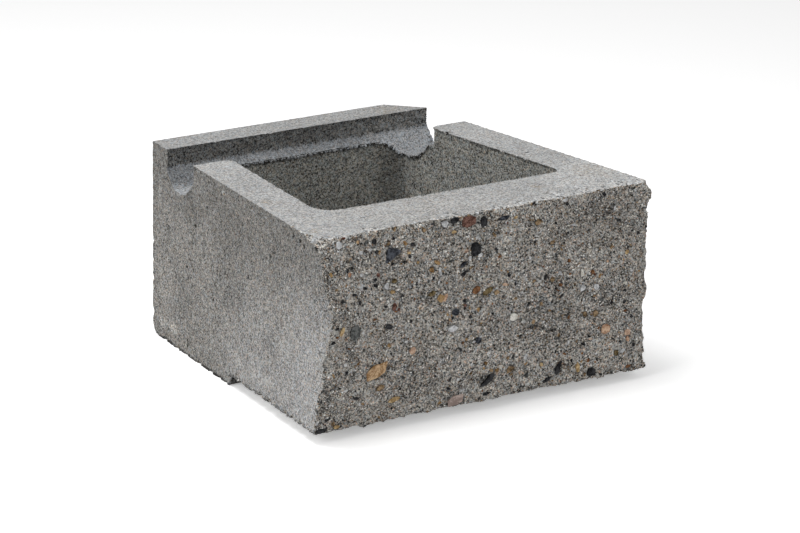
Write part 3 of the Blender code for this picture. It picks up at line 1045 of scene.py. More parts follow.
def zone_of_faces(mesh):
    """Zone number of each face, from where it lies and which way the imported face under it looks."""
    corners = np.empty(len(mesh.loops), np.int32)
    mesh.loops.foreach_get("vertex_index", corners)
    corners = corners.reshape(-1, 3)
    _, back, up = read_attribute(mesh, "facing", "vector").reshape(-1, 3)[corners].mean(1).T
    bared = read_attribute(mesh, "bared")[corners].mean(1)
    x, y, z = read_points(mesh)[corners].mean(1).T
    edge = MILLIMETRE
    in_core = (y > CORE_FRONT - 2 * edge) & (y < CORE_REAR + 2 * edge) & (np.abs(x) < CORE_SIDE)
    in_channel = (y > CHANNEL_FRONT - edge) & (y < RAIL_FRONT + edge) & (z > CHANNEL_FLOOR - 2 * edge)
    zone = np.full(len(corners), ZONES.index("side"))
    for name, here in (
            ("channel", in_channel & (np.abs(up) > 0.3)),
            ("channel", in_channel & (back > 0.3) & (z > CHANNEL_KNEE - 2 * edge)),
            ("core", in_core & (np.abs(up) < 0.5)),
            ("rail_face", in_channel & (back < -0.9) & (z > CHANNEL_KNEE)),
            ("top", (up > 0.6) & (z > TOP - 5 * edge)),
            ("underside", (up < -0.5) & (z < LUG_DROP + 3 * edge)),
            ("split", (back < -0.46) & (y < SPLIT_LINE + SPLIT_REACH)),
            ("split", bared > 0.5)):
        zone[here] = ZONES.index(name)
    return zone


class BLOCK_OT_body(bpy.types.Operator):
    """Make the cast body: sandy sides, bearing faces, channel, core and split front"""

    bl_idname = "block.body"
    bl_label = "Cast Body"

    def execute(self, context):
        values, stones = context.scene.block_body, context.scene.block_stones
        body = merged_copy("block_body")
        weather(body, values)
        mesh = body.data
        points = read_points(mesh).astype(float)
        hollow = read_attribute(mesh, "hollow")
        sink_sockets(points, hollow, stones)
        open_cracks(points, hollow)
        press_pits(points, hollow)
        bared = scoop(points, stones)
        write_points(mesh, points)
        mesh.attributes["hollow"].data.foreach_set("value", hollow)
        mesh.attributes.new("bared", 'FLOAT', 'POINT').data.foreach_set("value", bared)
        thin(body, values.triangles)
        mesh = body.data
        keep_in_box(mesh)
        for zone in ZONES:
            mesh.materials.append(concrete(zone))
        mesh.polygons.foreach_set("material_index", zone_of_faces(mesh).astype(np.int32))
        mesh.shade_smooth()
        finish_piece(body)
        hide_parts(NODE)
        return {'FINISHED'}


# Stones set in the split face

Stone = namedtuple("Stone", "pixel width height finish turn outline", defaults=(0, "lump"))

# Outlines, from -1 to 1 each way; a lump has none of its own and is drawn at random
OUTLINES = {
    "wedge": ((-0.95, -1.0), (-0.15, -0.62), (1.0, 0.28), (0.55, 0.62), (-0.5, 1.0)),
    "sickle": ((-1.0, -0.95), (-0.1, -0.80), (0.6, -0.15), (0.95, 0.55), (0.85, 1.0), (0.42, 0.80),
               (0.05, 0.10), (-0.45, -0.50)),
    "shard": ((-1.0, -0.8), (-0.45, -1.0), (0.45, -0.1), (1.0, 0.95), (0.55, 0.8), (-0.35, 0.15)),
    "block": ((-0.9, -0.6), (-0.2, -1.0), (0.85, -0.7), (1.0, 0.4), (0.2, 1.0), (-0.7, 0.8)),
    "rhomb": ((-1.0, 0.05), (-0.9, -1.0), (0.15, -0.8), (0.82, -0.35), (1.0, 0.95), (-0.35, 0.78)),
    "slab": ((-1.0, -0.3), (-0.5, -1.0), (0.6, -0.8), (1.0, 0.2), (0.4, 1.0), (-0.6, 0.8)),
}

# Middle of each stone in the photograph, its width and height in millimetres on the face, its
# finish, and its turn in degrees and its outline where they aren't 0 and a lump
STONES = (
    Stone((393.2, 254.6), 20, 16, "slate", 0, "wedge"), Stone((412.5, 244.6), 5, 4, "black", 20),
    Stone((377, 252), 5, 4, "black", 30), Stone((468.7, 221.3), 18, 12, "red_brown", 5, "block"),
    Stone((454.8, 220.4), 11, 6, "black", 10, "slab"), Stone((483.8, 221.6), 9, 11, "black", 0, "block"),
    Stone((445, 224), 10, 8, "pale_grey"), Stone((504.5, 218), 13, 4, "slate", 8, "slab"),
    Stone((538.8, 221.7), 11, 6, "umber", 20), Stone((475.6, 249.2), 13, 15, "black", 0, "block"),
    Stone((464, 264.3), 10, 5, "slate", 15, "shard"), Stone((432, 270), 6, 7, "amber"),
    Stone((454, 232), 6, 4, "tan"), Stone((582, 273), 5, 11, "quartz"),
    Stone((476.3, 289.8), 11, 7, "brown", 18, "slab"), Stone((488, 291), 14, 6, "olive", 25, "slab"),
    Stone((432.2, 293.6), 10, 5, "olive", 12, "slab"), Stone((441, 298.2), 9, 9, "amber", 20),
    Stone((394.3, 307), 5, 8, "red_brown"), Stone((455.6, 312.2), 9, 7, "slate", -10, "block"),
    Stone((513.4, 317), 11, 8, "quartz", 0, "block"), Stone((452.6, 328.4), 13, 10, "pale_grey", 10),
    Stone((355.2, 333), 13, 16, "slate_grey", 0, "block"), Stone((342.2, 332), 5, 10, "tan", -20, "slab"),
    Stone((389, 327), 9, 5, "black", -10, "block"), Stone((478.4, 340.2), 7, 7, "slate", 0, "block"),
    Stone((605.4, 328.8), 12, 11, "orange_pink", 0, "block"),
    Stone((627.2, 332), 8, 7, "pink", 0, "block"), Stone((627.6, 338.5), 5, 6, "orange_pink"),
    Stone((633.5, 344.5), 6, 4, "black", -20), Stone((616, 353), 6, 7, "olive"),
    Stone((622.5, 350.5), 7, 4, "pale_grey", 20, "slab"), Stone((412.5, 350.2), 9, 8, "pink"),
    Stone((376.8, 371.3), 26, 18, "orange_tan", 0, "rhomb"), Stone((380.3, 388), 10, 6, "umber", 10),
    Stone((394, 399.6), 15, 5, "tan", 8, "slab"), Stone((486.6, 380), 19, 15, "black", 0, "sickle"),
    Stone((510.6, 369.4), 11, 8, "umber", 0, "wedge"), Stone((558.2, 367.6), 9, 15, "black", 0, "shard"),
    Stone((547.6, 379.4), 10, 5, "black", 10, "shard"), Stone((577.8, 367.4), 5, 12, "tan", 15),
    Stone((590.8, 371.8), 11, 10, "black", 0, "block"), Stone((455.5, 400.2), 19, 12, "rose", 0, "rhomb"),
    Stone((320.6, 431.2), 12, 5, "black", -5, "block"), Stone((336.7, 427), 7, 4, "tan"),
    Stone((338.8, 245.4), 7, 8, "pale_grey", 0, "block"), Stone((343.8, 238.6), 4, 3, "red_brown"),
    Stone((496.8, 292.4), 6, 5, "umber"), Stone((349.5, 275), 4, 5, "orange_pink"),
    Stone((378.4, 275.2), 5, 5, "red_brown"), Stone((343.6, 302.4), 8, 3, "black", -25, "shard"),
    Stone((376, 286), 4, 4, "black"), Stone((386.3, 286.4), 6, 8, "pale_grey"),
    Stone((545.6, 277.5), 4, 7, "black", -15, "shard"), Stone((528.8, 304), 6, 4, "black", 20, "shard"),
    Stone((561.4, 296.2), 7, 3, "black", 15, "shard"), Stone((470.5, 316.8), 4, 4, "black", 20),
    Stone((486, 363.3), 4, 4, "amber"), Stone((497, 370), 4, 4, "amber"),
    Stone((486.3, 393.5), 9, 3, "black", 5, "slab"), Stone((527, 375), 4, 6, "slate_grey"),
    Stone((541.3, 364.5), 4, 6, "tan"), Stone((571.3, 360.8), 3, 4, "black"),
    Stone((588, 360), 4, 5, "brown"), Stone((628, 366), 7, 3, "brown", 10, "slab"),
    Stone((557, 338), 7, 3, "slate_grey", -20, "slab"), Stone((470, 258), 4, 5, "pale_grey"),
    Stone((556, 223), 3, 3, "black"), Stone((535, 242), 3, 4, "black"), Stone((516, 217), 4, 4, "tan"),
    Stone((393.5, 238.5), 4, 3, "black"), Stone((424, 230), 4, 5, "umber"),
    Stone((595.5, 313), 7, 7, "umber"), Stone((611.3, 302.5), 3, 5, "black"),
    Stone((376, 129), 11, 8, "mortar"), Stone((437.5, 262.5), 8, 4, "amber", -40, "slab"),
    Stone((440, 271.5), 3, 9, "pale_grey", 15, "slab"), Stone((392.8, 263.8), 4, 3, "black"),
    Stone((414, 249.5), 3, 3, "quartz"), Stone((409.3, 253), 4, 3, "tan"),
    Stone((418, 262.5), 4, 3, "tan", 20), Stone((451.5, 260.8), 8, 2.5, "slate_grey", 0, "slab"),
    Stone((466.5, 271.5), 6, 2, "black", 0, "slab"), Stone((433.5, 278.5), 5, 2, "black", 40, "slab"),
    Stone((486.5, 266.7), 3, 3, "orange_pink"), Stone((484, 275.5), 5, 2.5, "quartz", 40, "slab"),
    Stone((499.5, 256.5), 4, 3, "brown"), Stone((496.5, 249.5), 4, 3, "black"),
    Stone((509, 275), 4, 5, "black"), Stone((534, 281), 5, 3, "umber", 20),
    Stone((505, 284.5), 6, 4, "pink"), Stone((507.5, 223), 3, 2.5, "red_brown"),
    Stone((388.3, 244.3), 4, 3, "umber"), Stone((366, 243.5), 6, 3.5, "slate_grey", 30, "shard"),
    Stone((357.8, 242.3), 4, 4, "orange_tan", 30), Stone((374.5, 241.8), 6, 5, "black"),
    Stone((394.5, 281), 6, 5, "olive"), Stone((392.5, 292), 6, 4, "tan"),
    Stone((402.5, 296), 5, 3, "black"), Stone((354.5, 295), 6, 3, "black", -10, "slab"),
    Stone((365.7, 288.5), 4, 3, "black"), Stone((361.5, 275.5), 5, 4, "pale_grey"),
    Stone((331, 274.8), 4, 5, "tan"), Stone((360, 303), 4, 4, "black"),
    Stone((399, 309.5), 3, 4, "red_brown"), Stone((445.5, 297.5), 4, 9, "orange_pink", -20, "slab"),
    Stone((465.5, 305.5), 4, 3, "red_brown", 20), Stone((464.8, 300.5), 5, 4, "black"),
    Stone((478.3, 309.3), 5, 5, "amber"), Stone((449.7, 319.6), 3, 3, "orange_tan"),
    Stone((552.5, 279.5), 5, 5, "umber"), Stone((593, 271.5), 4, 5, "brown"),
    Stone((596.5, 286.5), 7, 6, "pale_grey"), Stone((583, 288), 8, 8, "pale_grey"),
    Stone((625, 282.5), 5, 2.5, "quartz", 10, "slab"), Stone((627, 252), 6, 4, "tan", 30, "slab"),
    Stone((607.5, 261), 3, 4, "orange_pink"), Stone((569, 261), 4, 4, "brown"),
    Stone((560.5, 285), 5, 4, "brown"), Stone((595, 274.5), 3, 3, "red_brown"),
    Stone((585, 314), 6, 6, "umber"), Stone((601.5, 299.5), 5, 5, "slate_grey"),
    Stone((541.5, 303.5), 4, 4, "umber"),
)

# Darkest and lightest tone of each finish of stone, and its roughness
StoneFinish = namedtuple("StoneFinish", "dark light roughness")
STONE_FINISHES = {
    "black": StoneFinish((0.007, 0.007, 0.008), (0.060, 0.061, 0.064), 0.70),
    "slate": StoneFinish((0.010, 0.011, 0.014), (0.105, 0.114, 0.135), 0.65),
    "slate_grey": StoneFinish((0.040, 0.043, 0.043), (0.170, 0.175, 0.170), 0.70),
    "red_brown": StoneFinish((0.060, 0.028, 0.021), (0.270, 0.150, 0.120), 0.70),
    "brown": StoneFinish((0.075, 0.034, 0.015), (0.290, 0.145, 0.075), 0.70),
    "umber": StoneFinish((0.070, 0.045, 0.025), (0.420, 0.300, 0.180), 0.75),
    "olive": StoneFinish((0.045, 0.032, 0.015), (0.250, 0.190, 0.100), 0.75),
    "amber": StoneFinish((0.130, 0.070, 0.030), (0.460, 0.310, 0.160), 0.70),
    "tan": StoneFinish((0.300, 0.190, 0.085), (0.680, 0.520, 0.300), 0.75),
    "orange_tan": StoneFinish((0.270, 0.150, 0.070), (0.650, 0.470, 0.290), 0.70),
    "orange_pink": StoneFinish((0.290, 0.140, 0.080), (0.680, 0.490, 0.350), 0.70),
    "pink": StoneFinish((0.400, 0.250, 0.180), (0.800, 0.610, 0.450), 0.70),
    "rose": StoneFinish((0.310, 0.240, 0.215), (0.620, 0.500, 0.450), 0.70),
    "pale_grey": StoneFinish((0.350, 0.355, 0.365), (0.720, 0.725, 0.735), 0.65),
    "quartz": StoneFinish((0.480, 0.460, 0.400), (0.880, 0.865, 0.810), 0.55),
    # Bright grains, whose whiteness partly stands for glints: painted highlight
    "bright": StoneFinish((0.800, 0.790, 0.760), (0.950, 0.945, 0.930), 0.45),
    "mortar": StoneFinish((0.110, 0.112, 0.108), (0.360, 0.355, 0.335), 0.92),
}


def stone_material(name):
    """Close-grained stone that runs between two tones, lighter or darker from one face to the next."""
    finish = STONE_FINISHES[name]
    material, tree, shader, place = new_material("stone_" + name, finish.roughness, specular=0.05)
    veins = ramp(tree, grain(tree, place, 0.0017, 4.0, 0.9), 0.40, 0.60, -0.1, 0.7)
    bands = ramp(tree, grain(tree, place, 0.0050, 2.0), 0.40, 0.60, -0.35, 0.35)
    share = total(tree, veins, bands, product(tree, attribute(tree, "tone"), 0.4))
    share = calc(tree, 'MINIMUM', calc(tree, 'MAXIMUM', share, 0.0), 1.0)
    tree.links.new(mixed(tree, share, finish.dark, finish.light), shader.inputs["Base Color"])
    add_bump(tree, shader, grain(tree, place, 0.0011, 3.0), 0.35, 0.0004)
    return material


def stone_seats():
    """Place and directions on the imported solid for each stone: middle, right, up, outward."""
    faces = packed_faces()
    seats = []
    for stone in STONES:
        middle, outward = picked(faces, stone.pixel)
        if middle.y < CORE_FRONT and abs(outward.z) < 0.7:
            outward = (outward + Vector((0, -1, 0))).normalized()
        right = (Vector((1, 0, 0)) - outward * outward.x).normalized()
        seats.append((middle, right, outward.cross(right), outward))
    return seats


def softened(points, cut=0.06):
    """Outline with each corner cut off at a share of its sides."""
    soft = []
    for i, (x, y) in enumerate(points):
        for near in (points[i - 1], points[(i + 1) % len(points)]):
            soft.append((x + (near[0] - x) * cut, y + (near[1] - y) * cut))
    return soft


def stone_outline(stone, dice):
    """Closed outline of a stone in its own plane, turned and at its real size."""
    points = OUTLINES.get(stone.outline)
    if points is None:
        count = dice.randint(5, 6)
        turns = [2 * math.pi * (i + dice.uniform(-0.35, 0.35)) / count for i in range(count)]
        reach = [dice.uniform(0.75, 1.2) for _ in turns]
        points = [(math.cos(a) * r, math.sin(a) * r) for a, r in zip(turns, reach)]
    turn = Matrix.Rotation(math.radians(stone.turn), 2)
    size = (stone.width / 2 * MILLIMETRE, stone.height / 2 * MILLIMETRE)
    return [turn @ Vector((x * size[0], y * size[1])) for x, y in softened(points)]


# Socket round a stone, as shares of its own size: where it is deep, where its rim ends, and where the
# surface is level again; and how far from the face it reaches
SOCKET_FLOOR = 0.85
SOCKET_RIM = 1.25
SOCKET_EDGE = 2.2
SOCKET_REACH = 0.008


def sink_sockets(points, hollow, values):
    """Sink the surface under every stone, level it round the rim and mark the gap there as hollow: painted
    shade.
    """
    gap = np.random.default_rng(values.seed).uniform(0.1, 1.1, len(points))
    for stone, (middle, right, up, outward) in zip(STONES, stone_seats()):
        away = points - np.array(middle)
        across, along, above = (away @ np.array(axis) for axis in (right, up, outward))
        turn = math.radians(-stone.turn)
        u = (across * math.cos(turn) - along * math.sin(turn)) / (stone.width / 2 * MILLIMETRE)
        v = (across * math.sin(turn) + along * math.cos(turn)) / (stone.height / 2 * MILLIMETRE)
        ring = np.hypot(u, v)
        near = (ring < SOCKET_EDGE) & (np.abs(above) < SOCKET_REACH)
        level = np.clip((SOCKET_EDGE - ring[near]) / 1.2, 0, 1)
        target = np.where(ring[near] < SOCKET_FLOOR, -values.socket, 0.0)
        points[near] += ((target - above[near]) * level)[:, None] * np.array(outward)
        rim = near & (ring < SOCKET_RIM) & (stone.finish != "mortar")
        hollow[rim] = np.maximum(hollow[rim], gap[rim])


# How deep a stone's root goes into the cement
STONE_ROOT = 0.005


def broken_stone(outline, proud, dice):
    """Stone on an outline, broken to a few flat faces; stands along +Z."""
    shape = bmesh.new()
    rings = [[shape.verts.new((p.x * 0.85, p.y * 0.85, -STONE_ROOT)) for p in outline],
             [shape.verts.new((p.x, p.y, 0.1 * proud)) for p in outline],
             [shape.verts.new((p.x * 0.97, p.y * 0.97, proud * dice.uniform(0.5, 0.8))) for p in outline]]
    ridge = outline[dice.randrange(len(outline))] * dice.uniform(0.15, 0.45)
    crest = [shape.verts.new((ridge.x * end, ridge.y * end, proud * dice.uniform(0.85, 1.0)))
             for end in (1, -0.8)]
    shape.faces.new(rings[0][::-1])
    for lower, upper in zip(rings, rings[1:]):
        for i in range(len(outline)):
            j = (i + 1) % len(outline)
            shape.faces.new((lower[i], lower[j], upper[j], upper[i]))
    for i, point in enumerate(outline):
        j = (i + 1) % len(outline)
        near = crest[0] if point.dot(ridge) > 0 else crest[1]
        next_near = crest[0] if outline[j].dot(ridge) > 0 else crest[1]
        shape.faces.new((rings[2][i], rings[2][j], next_near))
        if near is not next_near:
            shape.faces.new((rings[2][i], next_near, near))
    return shape


class BLOCK_OT_stones(bpy.types.Operator):
    """Set the larger stones in the split face, where they lie in the photograph"""

    bl_idname = "block.stones"
    bl_label = "Set Stones"

    def execute(self, context):
        values = context.scene.block_stones
        dice = random.Random(values.seed)
        names = sorted(STONE_FINISHES)
        points, faces, slots, tones = [], [], [], []
        for stone, (middle, right, up, outward) in zip(STONES, stone_seats()):
            proud = values.proud * min(1.0, 0.4 + stone.height / 14)
            shape = broken_stone(stone_outline(stone, dice), proud, dice)
            shape.verts.index_update()
            first = len(points)
            points += [middle + right * v.co.x + up * v.co.y + outward * v.co.z for v in shape.verts]
            faces += [[first + v.index for v in face.verts] for face in shape.faces]
            slots += [names.index(stone.finish)] * len(shape.faces)
            shade = dice.uniform(0.1, 0.7)
            tones += [shade + dice.uniform(-0.5, 0.5) for _ in shape.faces]
            shape.free()
        mesh = bpy.data.meshes.new("set_stones")
        mesh.from_pydata(points, [], faces)
        mesh.polygons.foreach_set("material_index", slots)
        mesh.attributes.new("tone", 'FLOAT', 'FACE').data.foreach_set("value", tones)
        for name in names:
            mesh.materials.append(stone_material(name))
        finish_piece(new_object("set_stones", mesh))
        return {'FINISHED'}


# Ragged fringe of cement under the lip of the channel

FRINGE_LUMPS = 900
FRINGE_SHARE = 0.62


class BLOCK_OT_fringe(bpy.types.Operator):
    """Leave ragged lumps of cement where the channel breaks off into the core"""

    bl_idname = "block.fringe"
    bl_label = "Ragged Fringe"

    def execute(self, context):
        dice = random.Random(context.scene.block_stones.seed)
        shape = bmesh.new()
        turns = [2 * math.pi * (i + dice.random()) / FRINGE_LUMPS for i in range(FRINGE_LUMPS)]
        for place, outward in lip_places(packed_faces(), turns):
            radius = MILLIMETRE * (0.5 + 1.3 * dice.random() ** 1.6)
            if dice.random() > FRINGE_SHARE:
                continue
            place = place + outward * radius * dice.uniform(-0.3, 0.3)
            place = place - Vector((0, 0, radius * dice.uniform(0.4, 1.1)))
            lump = bmesh.ops.create_icosphere(shape, subdivisions=1, radius=radius)["verts"]
            for vert in lump:
                vert.co = vert.co * dice.uniform(0.7, 1.25) + place
        mesh = bpy.data.meshes.new("fringe")
        shape.to_mesh(mesh)
        shape.free()
        mesh.materials.append(bpy.data.materials["concrete_channel"])
        fringe = new_object("fringe", mesh)
        keep_in_box(mesh)
        finish_piece(fringe)
        return {'FINISHED'}


# Pebbles, grit and sand scattered over the surface

# Kinds of grain: the zone that each lies on and its finish, where sand has its zone's own colour;
# smallest and largest in millimetres; how rare the large ones are; its triangles; and its share of
# the number in a square metre that the settings give
Grit = namedtuple("Grit", "name zone finish smallest largest skew facets share")
GRIT = (
    Grit("pebbles_black", "split", "black", 0.8, 3.0, 2.6, 20, 0.075),
    Grit("pebbles_amber", "split", "amber", 0.8, 2.4, 2.8, 20, 0.038),
    Grit("pebbles_brown", "split", "brown", 0.8, 2.0, 2.6, 20, 0.035),
    Grit("pebbles_umber", "split", "umber", 0.9, 2.6, 2.4, 20, 0.040),
    Grit("pebbles_pale", "split", "pale_grey", 0.9, 2.8, 2.4, 20, 0.070),
    Grit("grit_black", "split", "black", 0.40, 1.0, 1.5, 20, 1.5),
    Grit("grit_amber", "split", "amber", 0.40, 0.9, 1.5, 20, 0.26),
    Grit("grit_umber", "split", "umber", 0.40, 1.0, 1.5, 20, 0.6),
    Grit("grit_pale", "split", "quartz", 0.40, 1.0, 1.5, 20, 2.0),
    # Bright grains, partly painted glints
    Grit("grit_bright", "split", "bright", 0.50, 1.1, 1.5, 20, 0.5),
    Grit("sand_top", "top", None, 0.4, 0.9, 1.0, 8, 1.2),
    Grit("sand_side", "side", None, 0.5, 1.1, 1.0, 8, 1.0),
    Grit("sand_underside", "underside", None, 0.5, 1.1, 1.0, 8, 0.8),
    Grit("sand_rail_face", "rail_face", None, 0.5, 1.1, 1.0, 8, 1.2),
    Grit("sand_channel", "channel", None, 0.4, 0.9, 1.0, 8, 1.0),
    Grit("sand_core", "core", None, 0.5, 1.2, 1.0, 8, 1.0),
)

# Width of the bumps that take a grain out of round, and how far its tone's number is moved on
GRAIN_BUMP = 0.0016
TONE_SHIFT = 7919.0

# Darkest and lightest sand grain of a zone, as a share of the zone's colour
SAND_TONES = {"top": (0.72, 1.25), "side": (0.45, 1.65), "underside": (0.45, 1.65),
              "rail_face": (0.30, 1.90), "channel": (0.60, 1.40), "core": (0.35, 1.70)}


def sand_material(zone):
    """Sand grains in the zone's own colour, some darker and some lighter."""
    material, tree, shader, place = new_material("sand_" + zone, FINISHES[zone].roughness, specular=0.25)
    dark, light = SAND_TONES[zone]
    tone = ramp(tree, attribute(tree, "tone"), 0.0, 1.0, dark, light, smooth=False)
    tone = product(tree, calmed(tree, place, zone, tone), patches(tree, place, zone),
                   zone_shade(tree, place, zone))
    colour = vector(tree, 'SCALE', base_colour(tree, place, zone), tone)
    stained = mixed(tree, rust(tree, place, zone), colour, STAIN_COLOUR, 'MULTIPLY')
    tree.links.new(stained, shader.inputs["Base Color"])
    return material


def one_grain(tree, facets):
    """Rough ball of 8 or 20 triangles."""
    if facets == 8:
        inputs = {"Segments": 4, "Rings": 2, "Radius": 1.0}
        return node(tree, "GeometryNodeMeshUVSphere", inputs).outputs[0]
    return node(tree, "GeometryNodeMeshIcoSphere", {"Radius": 1.0, "Subdivisions": 1}).outputs[0]


def random_vector(tree, seed, low, high):
    """A random vector for each grain."""
    inputs = {"Seed": seed, 0: low, 1: high}
    return node(tree, "FunctionNodeRandomValue", inputs, data_type='FLOAT_VECTOR').outputs[0]


def point_number(tree):
    """Number of each grain, moved on so that its tone doesn't follow its size."""
    index = node(tree, "GeometryNodeInputIndex").outputs[0]
    return node(tree, "FunctionNodeFloatToInt", {0: total(tree, index, TONE_SHIFT)}).outputs[0]


def zone_points(tree, entry, zone, seed):
    """Points scattered over one zone of a surface, none of them in a hollow."""
    face = node(tree, "GeometryNodeInputMaterialIndex").outputs[0]
    of_zone = node(tree, "FunctionNodeCompare", {2: face, 3: ZONES.index(zone)},
                   data_type='INT', operation='EQUAL').outputs[0]
    hollow = node(tree, "GeometryNodeInputNamedAttribute", {"Name": "hollow"}, data_type='FLOAT').outputs[0]
    density = product(tree, entry["Density"], calc(tree, 'LESS_THAN', hollow, HOLLOW_BARE))
    inputs = {"Mesh": entry["Geometry"], "Selection": of_zone, "Density": density, "Seed": seed}
    return node(tree, "GeometryNodeDistributePointsOnFaces", inputs, distribute_method='RANDOM').outputs


def laid_grains(tree, entry, grit, seed):
    """Grains of random size and turn on the points, each with its own tone."""
    points = zone_points(tree, entry, grit.zone, seed)
    chance = node(tree, "FunctionNodeRandomValue", {"Seed": seed}, data_type='FLOAT').outputs[1]
    size = ramp(tree, calc(tree, 'POWER', chance, grit.skew), 0.0, 1.0, entry["Smallest"],
                entry["Largest"], smooth=False)
    stretch = random_vector(tree, seed, (0.75, 0.55, 0.5), (1.6, 1.0, 0.8))
    spin = random_vector(tree, seed, (-0.35, -0.35, -math.pi), (0.35, 0.35, math.pi))
    turned = node(tree, "FunctionNodeRotateRotation", {0: points["Rotation"], 1: spin},
                  rotation_space='LOCAL')
    laid = node(tree, "GeometryNodeInstanceOnPoints",
                {"Points": points["Points"], "Instance": one_grain(tree, grit.facets),
                 "Rotation": turned.outputs[0], "Scale": vector(tree, 'SCALE', stretch, size)})
    shade = node(tree, "FunctionNodeRandomValue", {"Seed": seed, "ID": point_number(tree)},
                 data_type='FLOAT').outputs[1]
    return keep_attribute(tree, laid.outputs[0], "tone", shade, domain='INSTANCE')


def scatter_tree(grit, material):
    """Scatter angular grains over one zone of a surface, half sunk in it."""
    tree, entry = geometry_tree(grit.name, ("Density", "Smallest", "Largest", "Seed"))
    seed = node(tree, "FunctionNodeFloatToInt", {0: entry["Seed"]}).outputs[0]
    real = node(tree, "GeometryNodeRealizeInstances", {0: laid_grains(tree, entry, grit, seed)}).outputs[0]
    place = node(tree, "GeometryNodeInputPosition").outputs[0]
    rough = vector(tree, 'SUBTRACT', coloured_noise(tree, place, GRAIN_BUMP), (0.5, 0.5, 0.5))
    rough = vector(tree, 'SCALE', rough, product(tree, entry["Largest"], 0.9))
    chipped = node(tree, "GeometryNodeSetPosition", {"Geometry": real, "Offset": rough})
    painted = node(tree, "GeometryNodeSetMaterial", {"Geometry": chipped.outputs[0], "Material": material})
    node(tree, "NodeGroupOutput", {0: painted.outputs[0]})
    return tree


class BLOCK_OT_grit(bpy.types.Operator):
    """Scatter pebbles and grit over the split face, and sand over the cast faces"""

    bl_idname = "block.grit"
    bl_label = "Scatter Grit"

    def execute(self, context):
        values = context.scene.block_stones
        densities = {20: values.grain_density, 8: values.sand_density}
        for number, grit in enumerate(GRIT):
            thing = new_object(grit.name, bpy.data.objects["block_body"].data.copy())
            if grit.finish:
                material = bpy.data.materials["stone_" + grit.finish]
            else:
                material = sand_material(grit.zone)
            use_tree(thing, scatter_tree(grit, material), {
                "Density": densities[grit.facets] * grit.share,
                "Smallest": grit.smallest * MILLIMETRE, "Largest": grit.largest * MILLIMETRE,
                "Seed": float(values.seed + number)})
            keep_in_box(settle(thing, grit.name))
            finish_piece(thing)
        return {'FINISHED'}


# Stage


def seen_directly(tree):
    """1 for rays from the camera, off gloss and through glass, 0 for the light's own."""
    rays = node(tree, "ShaderNodeLightPath").outputs
    either = calc(tree, 'MAXIMUM', rays["Is Camera Ray"], rays["Is Glossy Ray"])
    return calc(tree, 'MAXIMUM', either, rays["Is Transmission Ray"])


def floor_material(colour, glow):
    """Pale matt floor, white to the camera where nothing shades it."""
    material, tree, shader, _ = new_material("floor", roughness=0.9, specular=0.0)
    seen = seen_directly(tree)
    tree.links.new(mixed(tree, seen, tuple(colour), (1.0, 1.0, 1.0)), shader.inputs["Base Color"])
    shader.inputs["Emission Color"].default_value = (1.0, 1.0, 1.0, 1.0)
    tree.links.new(product(tree, seen, glow), shader.inputs["Emission Strength"])
    return material


def add_floor(stage):
    """Level floor under the block."""
    half = stage.floor_size / 2
    mesh = bpy.data.meshes.new("floor")
    mesh.from_pydata([(-half, -half, 0), (half, -half, 0), (half, half, 0), (-half, half, 0)], [],
                     [(0, 1, 2, 3)])
    mesh.materials.append(floor_material(stage.floor_colour, stage.floor_glow))
    new_object("floor", mesh)


def add_world(level):
    """Even light from all round, in front of a white background."""
    world = bpy.data.worlds.new("studio")
    world.use_nodes = True
    bpy.context.scene.world = world
    tree = world.node_tree
    background = tree.nodes["Background"]
    background.inputs["Color"].default_value = (1.0, 1.0, 1.0, 1.0)
    strength = ramp(tree, seen_directly(tree), 0.0, 1.0, level, 1.0, False)
    tree.links.new(strength, background.inputs["Strength"])


# Square lamps round the block, each with the setting that holds its power
Lamp = namedtuple("Lamp", "name place size power")
LAMPS = (
    Lamp("lamp_above", (-0.45, 0.20, 1.8), 1.0, "top_power"),
    Lamp("lamp_left", (-2.0, -0.3, 1.3), 1.2, "left_power"),
    Lamp("lamp_front", (0.6, -2.2, 1.3), 1.2, "front_power"),
)


def add_lamp(name, place, size, power):
    """Square soft lamp that looks at the middle of the block."""
    lamp = bpy.data.lights.new(name, 'AREA')
    lamp.size = size
    lamp.energy = power
    thing = new_object(name, lamp)
    thing.location = place
    middle = Vector((0, 0, TOP / 2))
    thing.rotation_euler = (middle - Vector(place)).to_track_quat('-Z', 'Y').to_euler()


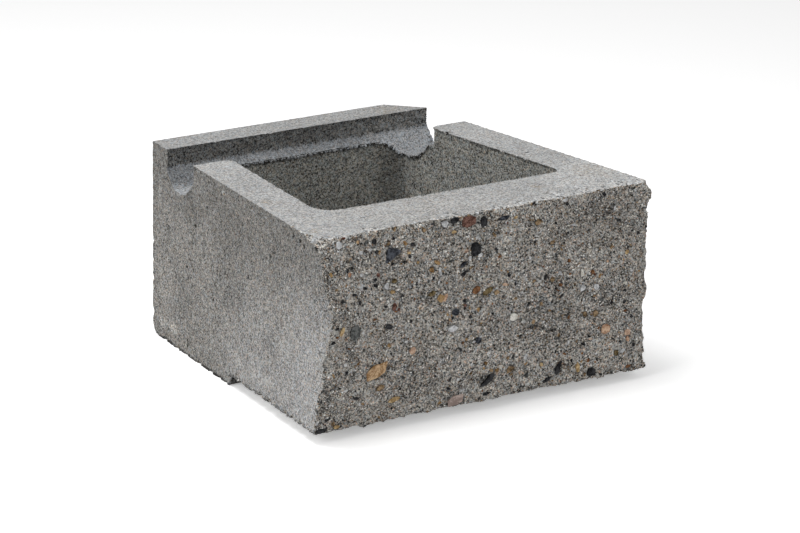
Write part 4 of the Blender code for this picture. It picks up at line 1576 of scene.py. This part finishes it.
def add_camera(stage):
    """Camera that frames the block as the photograph does."""
    camera = bpy.data.cameras.new("camera")
    camera.sensor_width = SENSOR
    camera.lens = PHOTO_FOCAL / PHOTO_SIZE[0] * SENSOR
    camera.clip_end = 100.0
    thing = new_object("camera", camera)
    thing.matrix_world = Matrix.Translation(camera_place(stage)) @ camera_turn(stage).to_4x4()
    bpy.context.scene.camera = thing


class BLOCK_OT_stage(bpy.types.Operator):
    """Set up the camera, the pale floor and the soft light"""

    bl_idname = "block.stage"
    bl_label = "Stage"

    def execute(self, context):
        stage = context.scene.block_stage
        add_camera(stage)
        add_floor(stage)
        add_world(stage.sky_level)
        for lamp in LAMPS:
            add_lamp(lamp.name, lamp.place, lamp.size, getattr(stage, lamp.power))
        context.scene.view_settings.view_transform = 'Standard'
        return {'FINISHED'}


class BLOCK_PT_panel(bpy.types.Panel):
    """Lists the block's pieces and the stage"""

    bl_idname = "BLOCK_PT_panel"
    bl_label = "Retaining Block"
    bl_space_type = 'VIEW_3D'
    bl_region_type = 'UI'
    bl_category = "Block"

    def draw(self, context):
        for operators, group in (((BLOCK_OT_body,), "block_body"), ((BLOCK_OT_stage,), "block_stage"),
                                 ((BLOCK_OT_stones, BLOCK_OT_fringe, BLOCK_OT_grit), "block_stones")):
            box = self.layout.box()
            for operator in operators:
                box.operator(operator.bl_idname)
            values = getattr(context.scene, group)
            for name in values.bl_rna.properties.keys():
                if name not in ("rna_type", "name"):
                    box.prop(values, name)


GROUPS = {"block_body": BlockBody, "block_stones": BlockStones, "block_stage": BlockStage}
CLASSES = (BlockBody, BlockStones, BlockStage, BLOCK_OT_body, BLOCK_OT_stones, BLOCK_OT_fringe,
           BLOCK_OT_grit, BLOCK_OT_stage, BLOCK_PT_panel)


def register():
    for item in CLASSES:
        bpy.utils.register_class(item)
    for name, group in GROUPS.items():
        setattr(bpy.types.Scene, name, PointerProperty(type=group))


def unregister():
    for name in GROUPS:
        delattr(bpy.types.Scene, name)
    for item in reversed(CLASSES):
        bpy.utils.unregister_class(item)


def main():
    register()
    bpy.ops.block.stage()
    bpy.ops.block.body()
    bpy.ops.block.stones()
    bpy.ops.block.fringe()
    bpy.ops.block.grit()


if __name__ == "__main__":
    main()
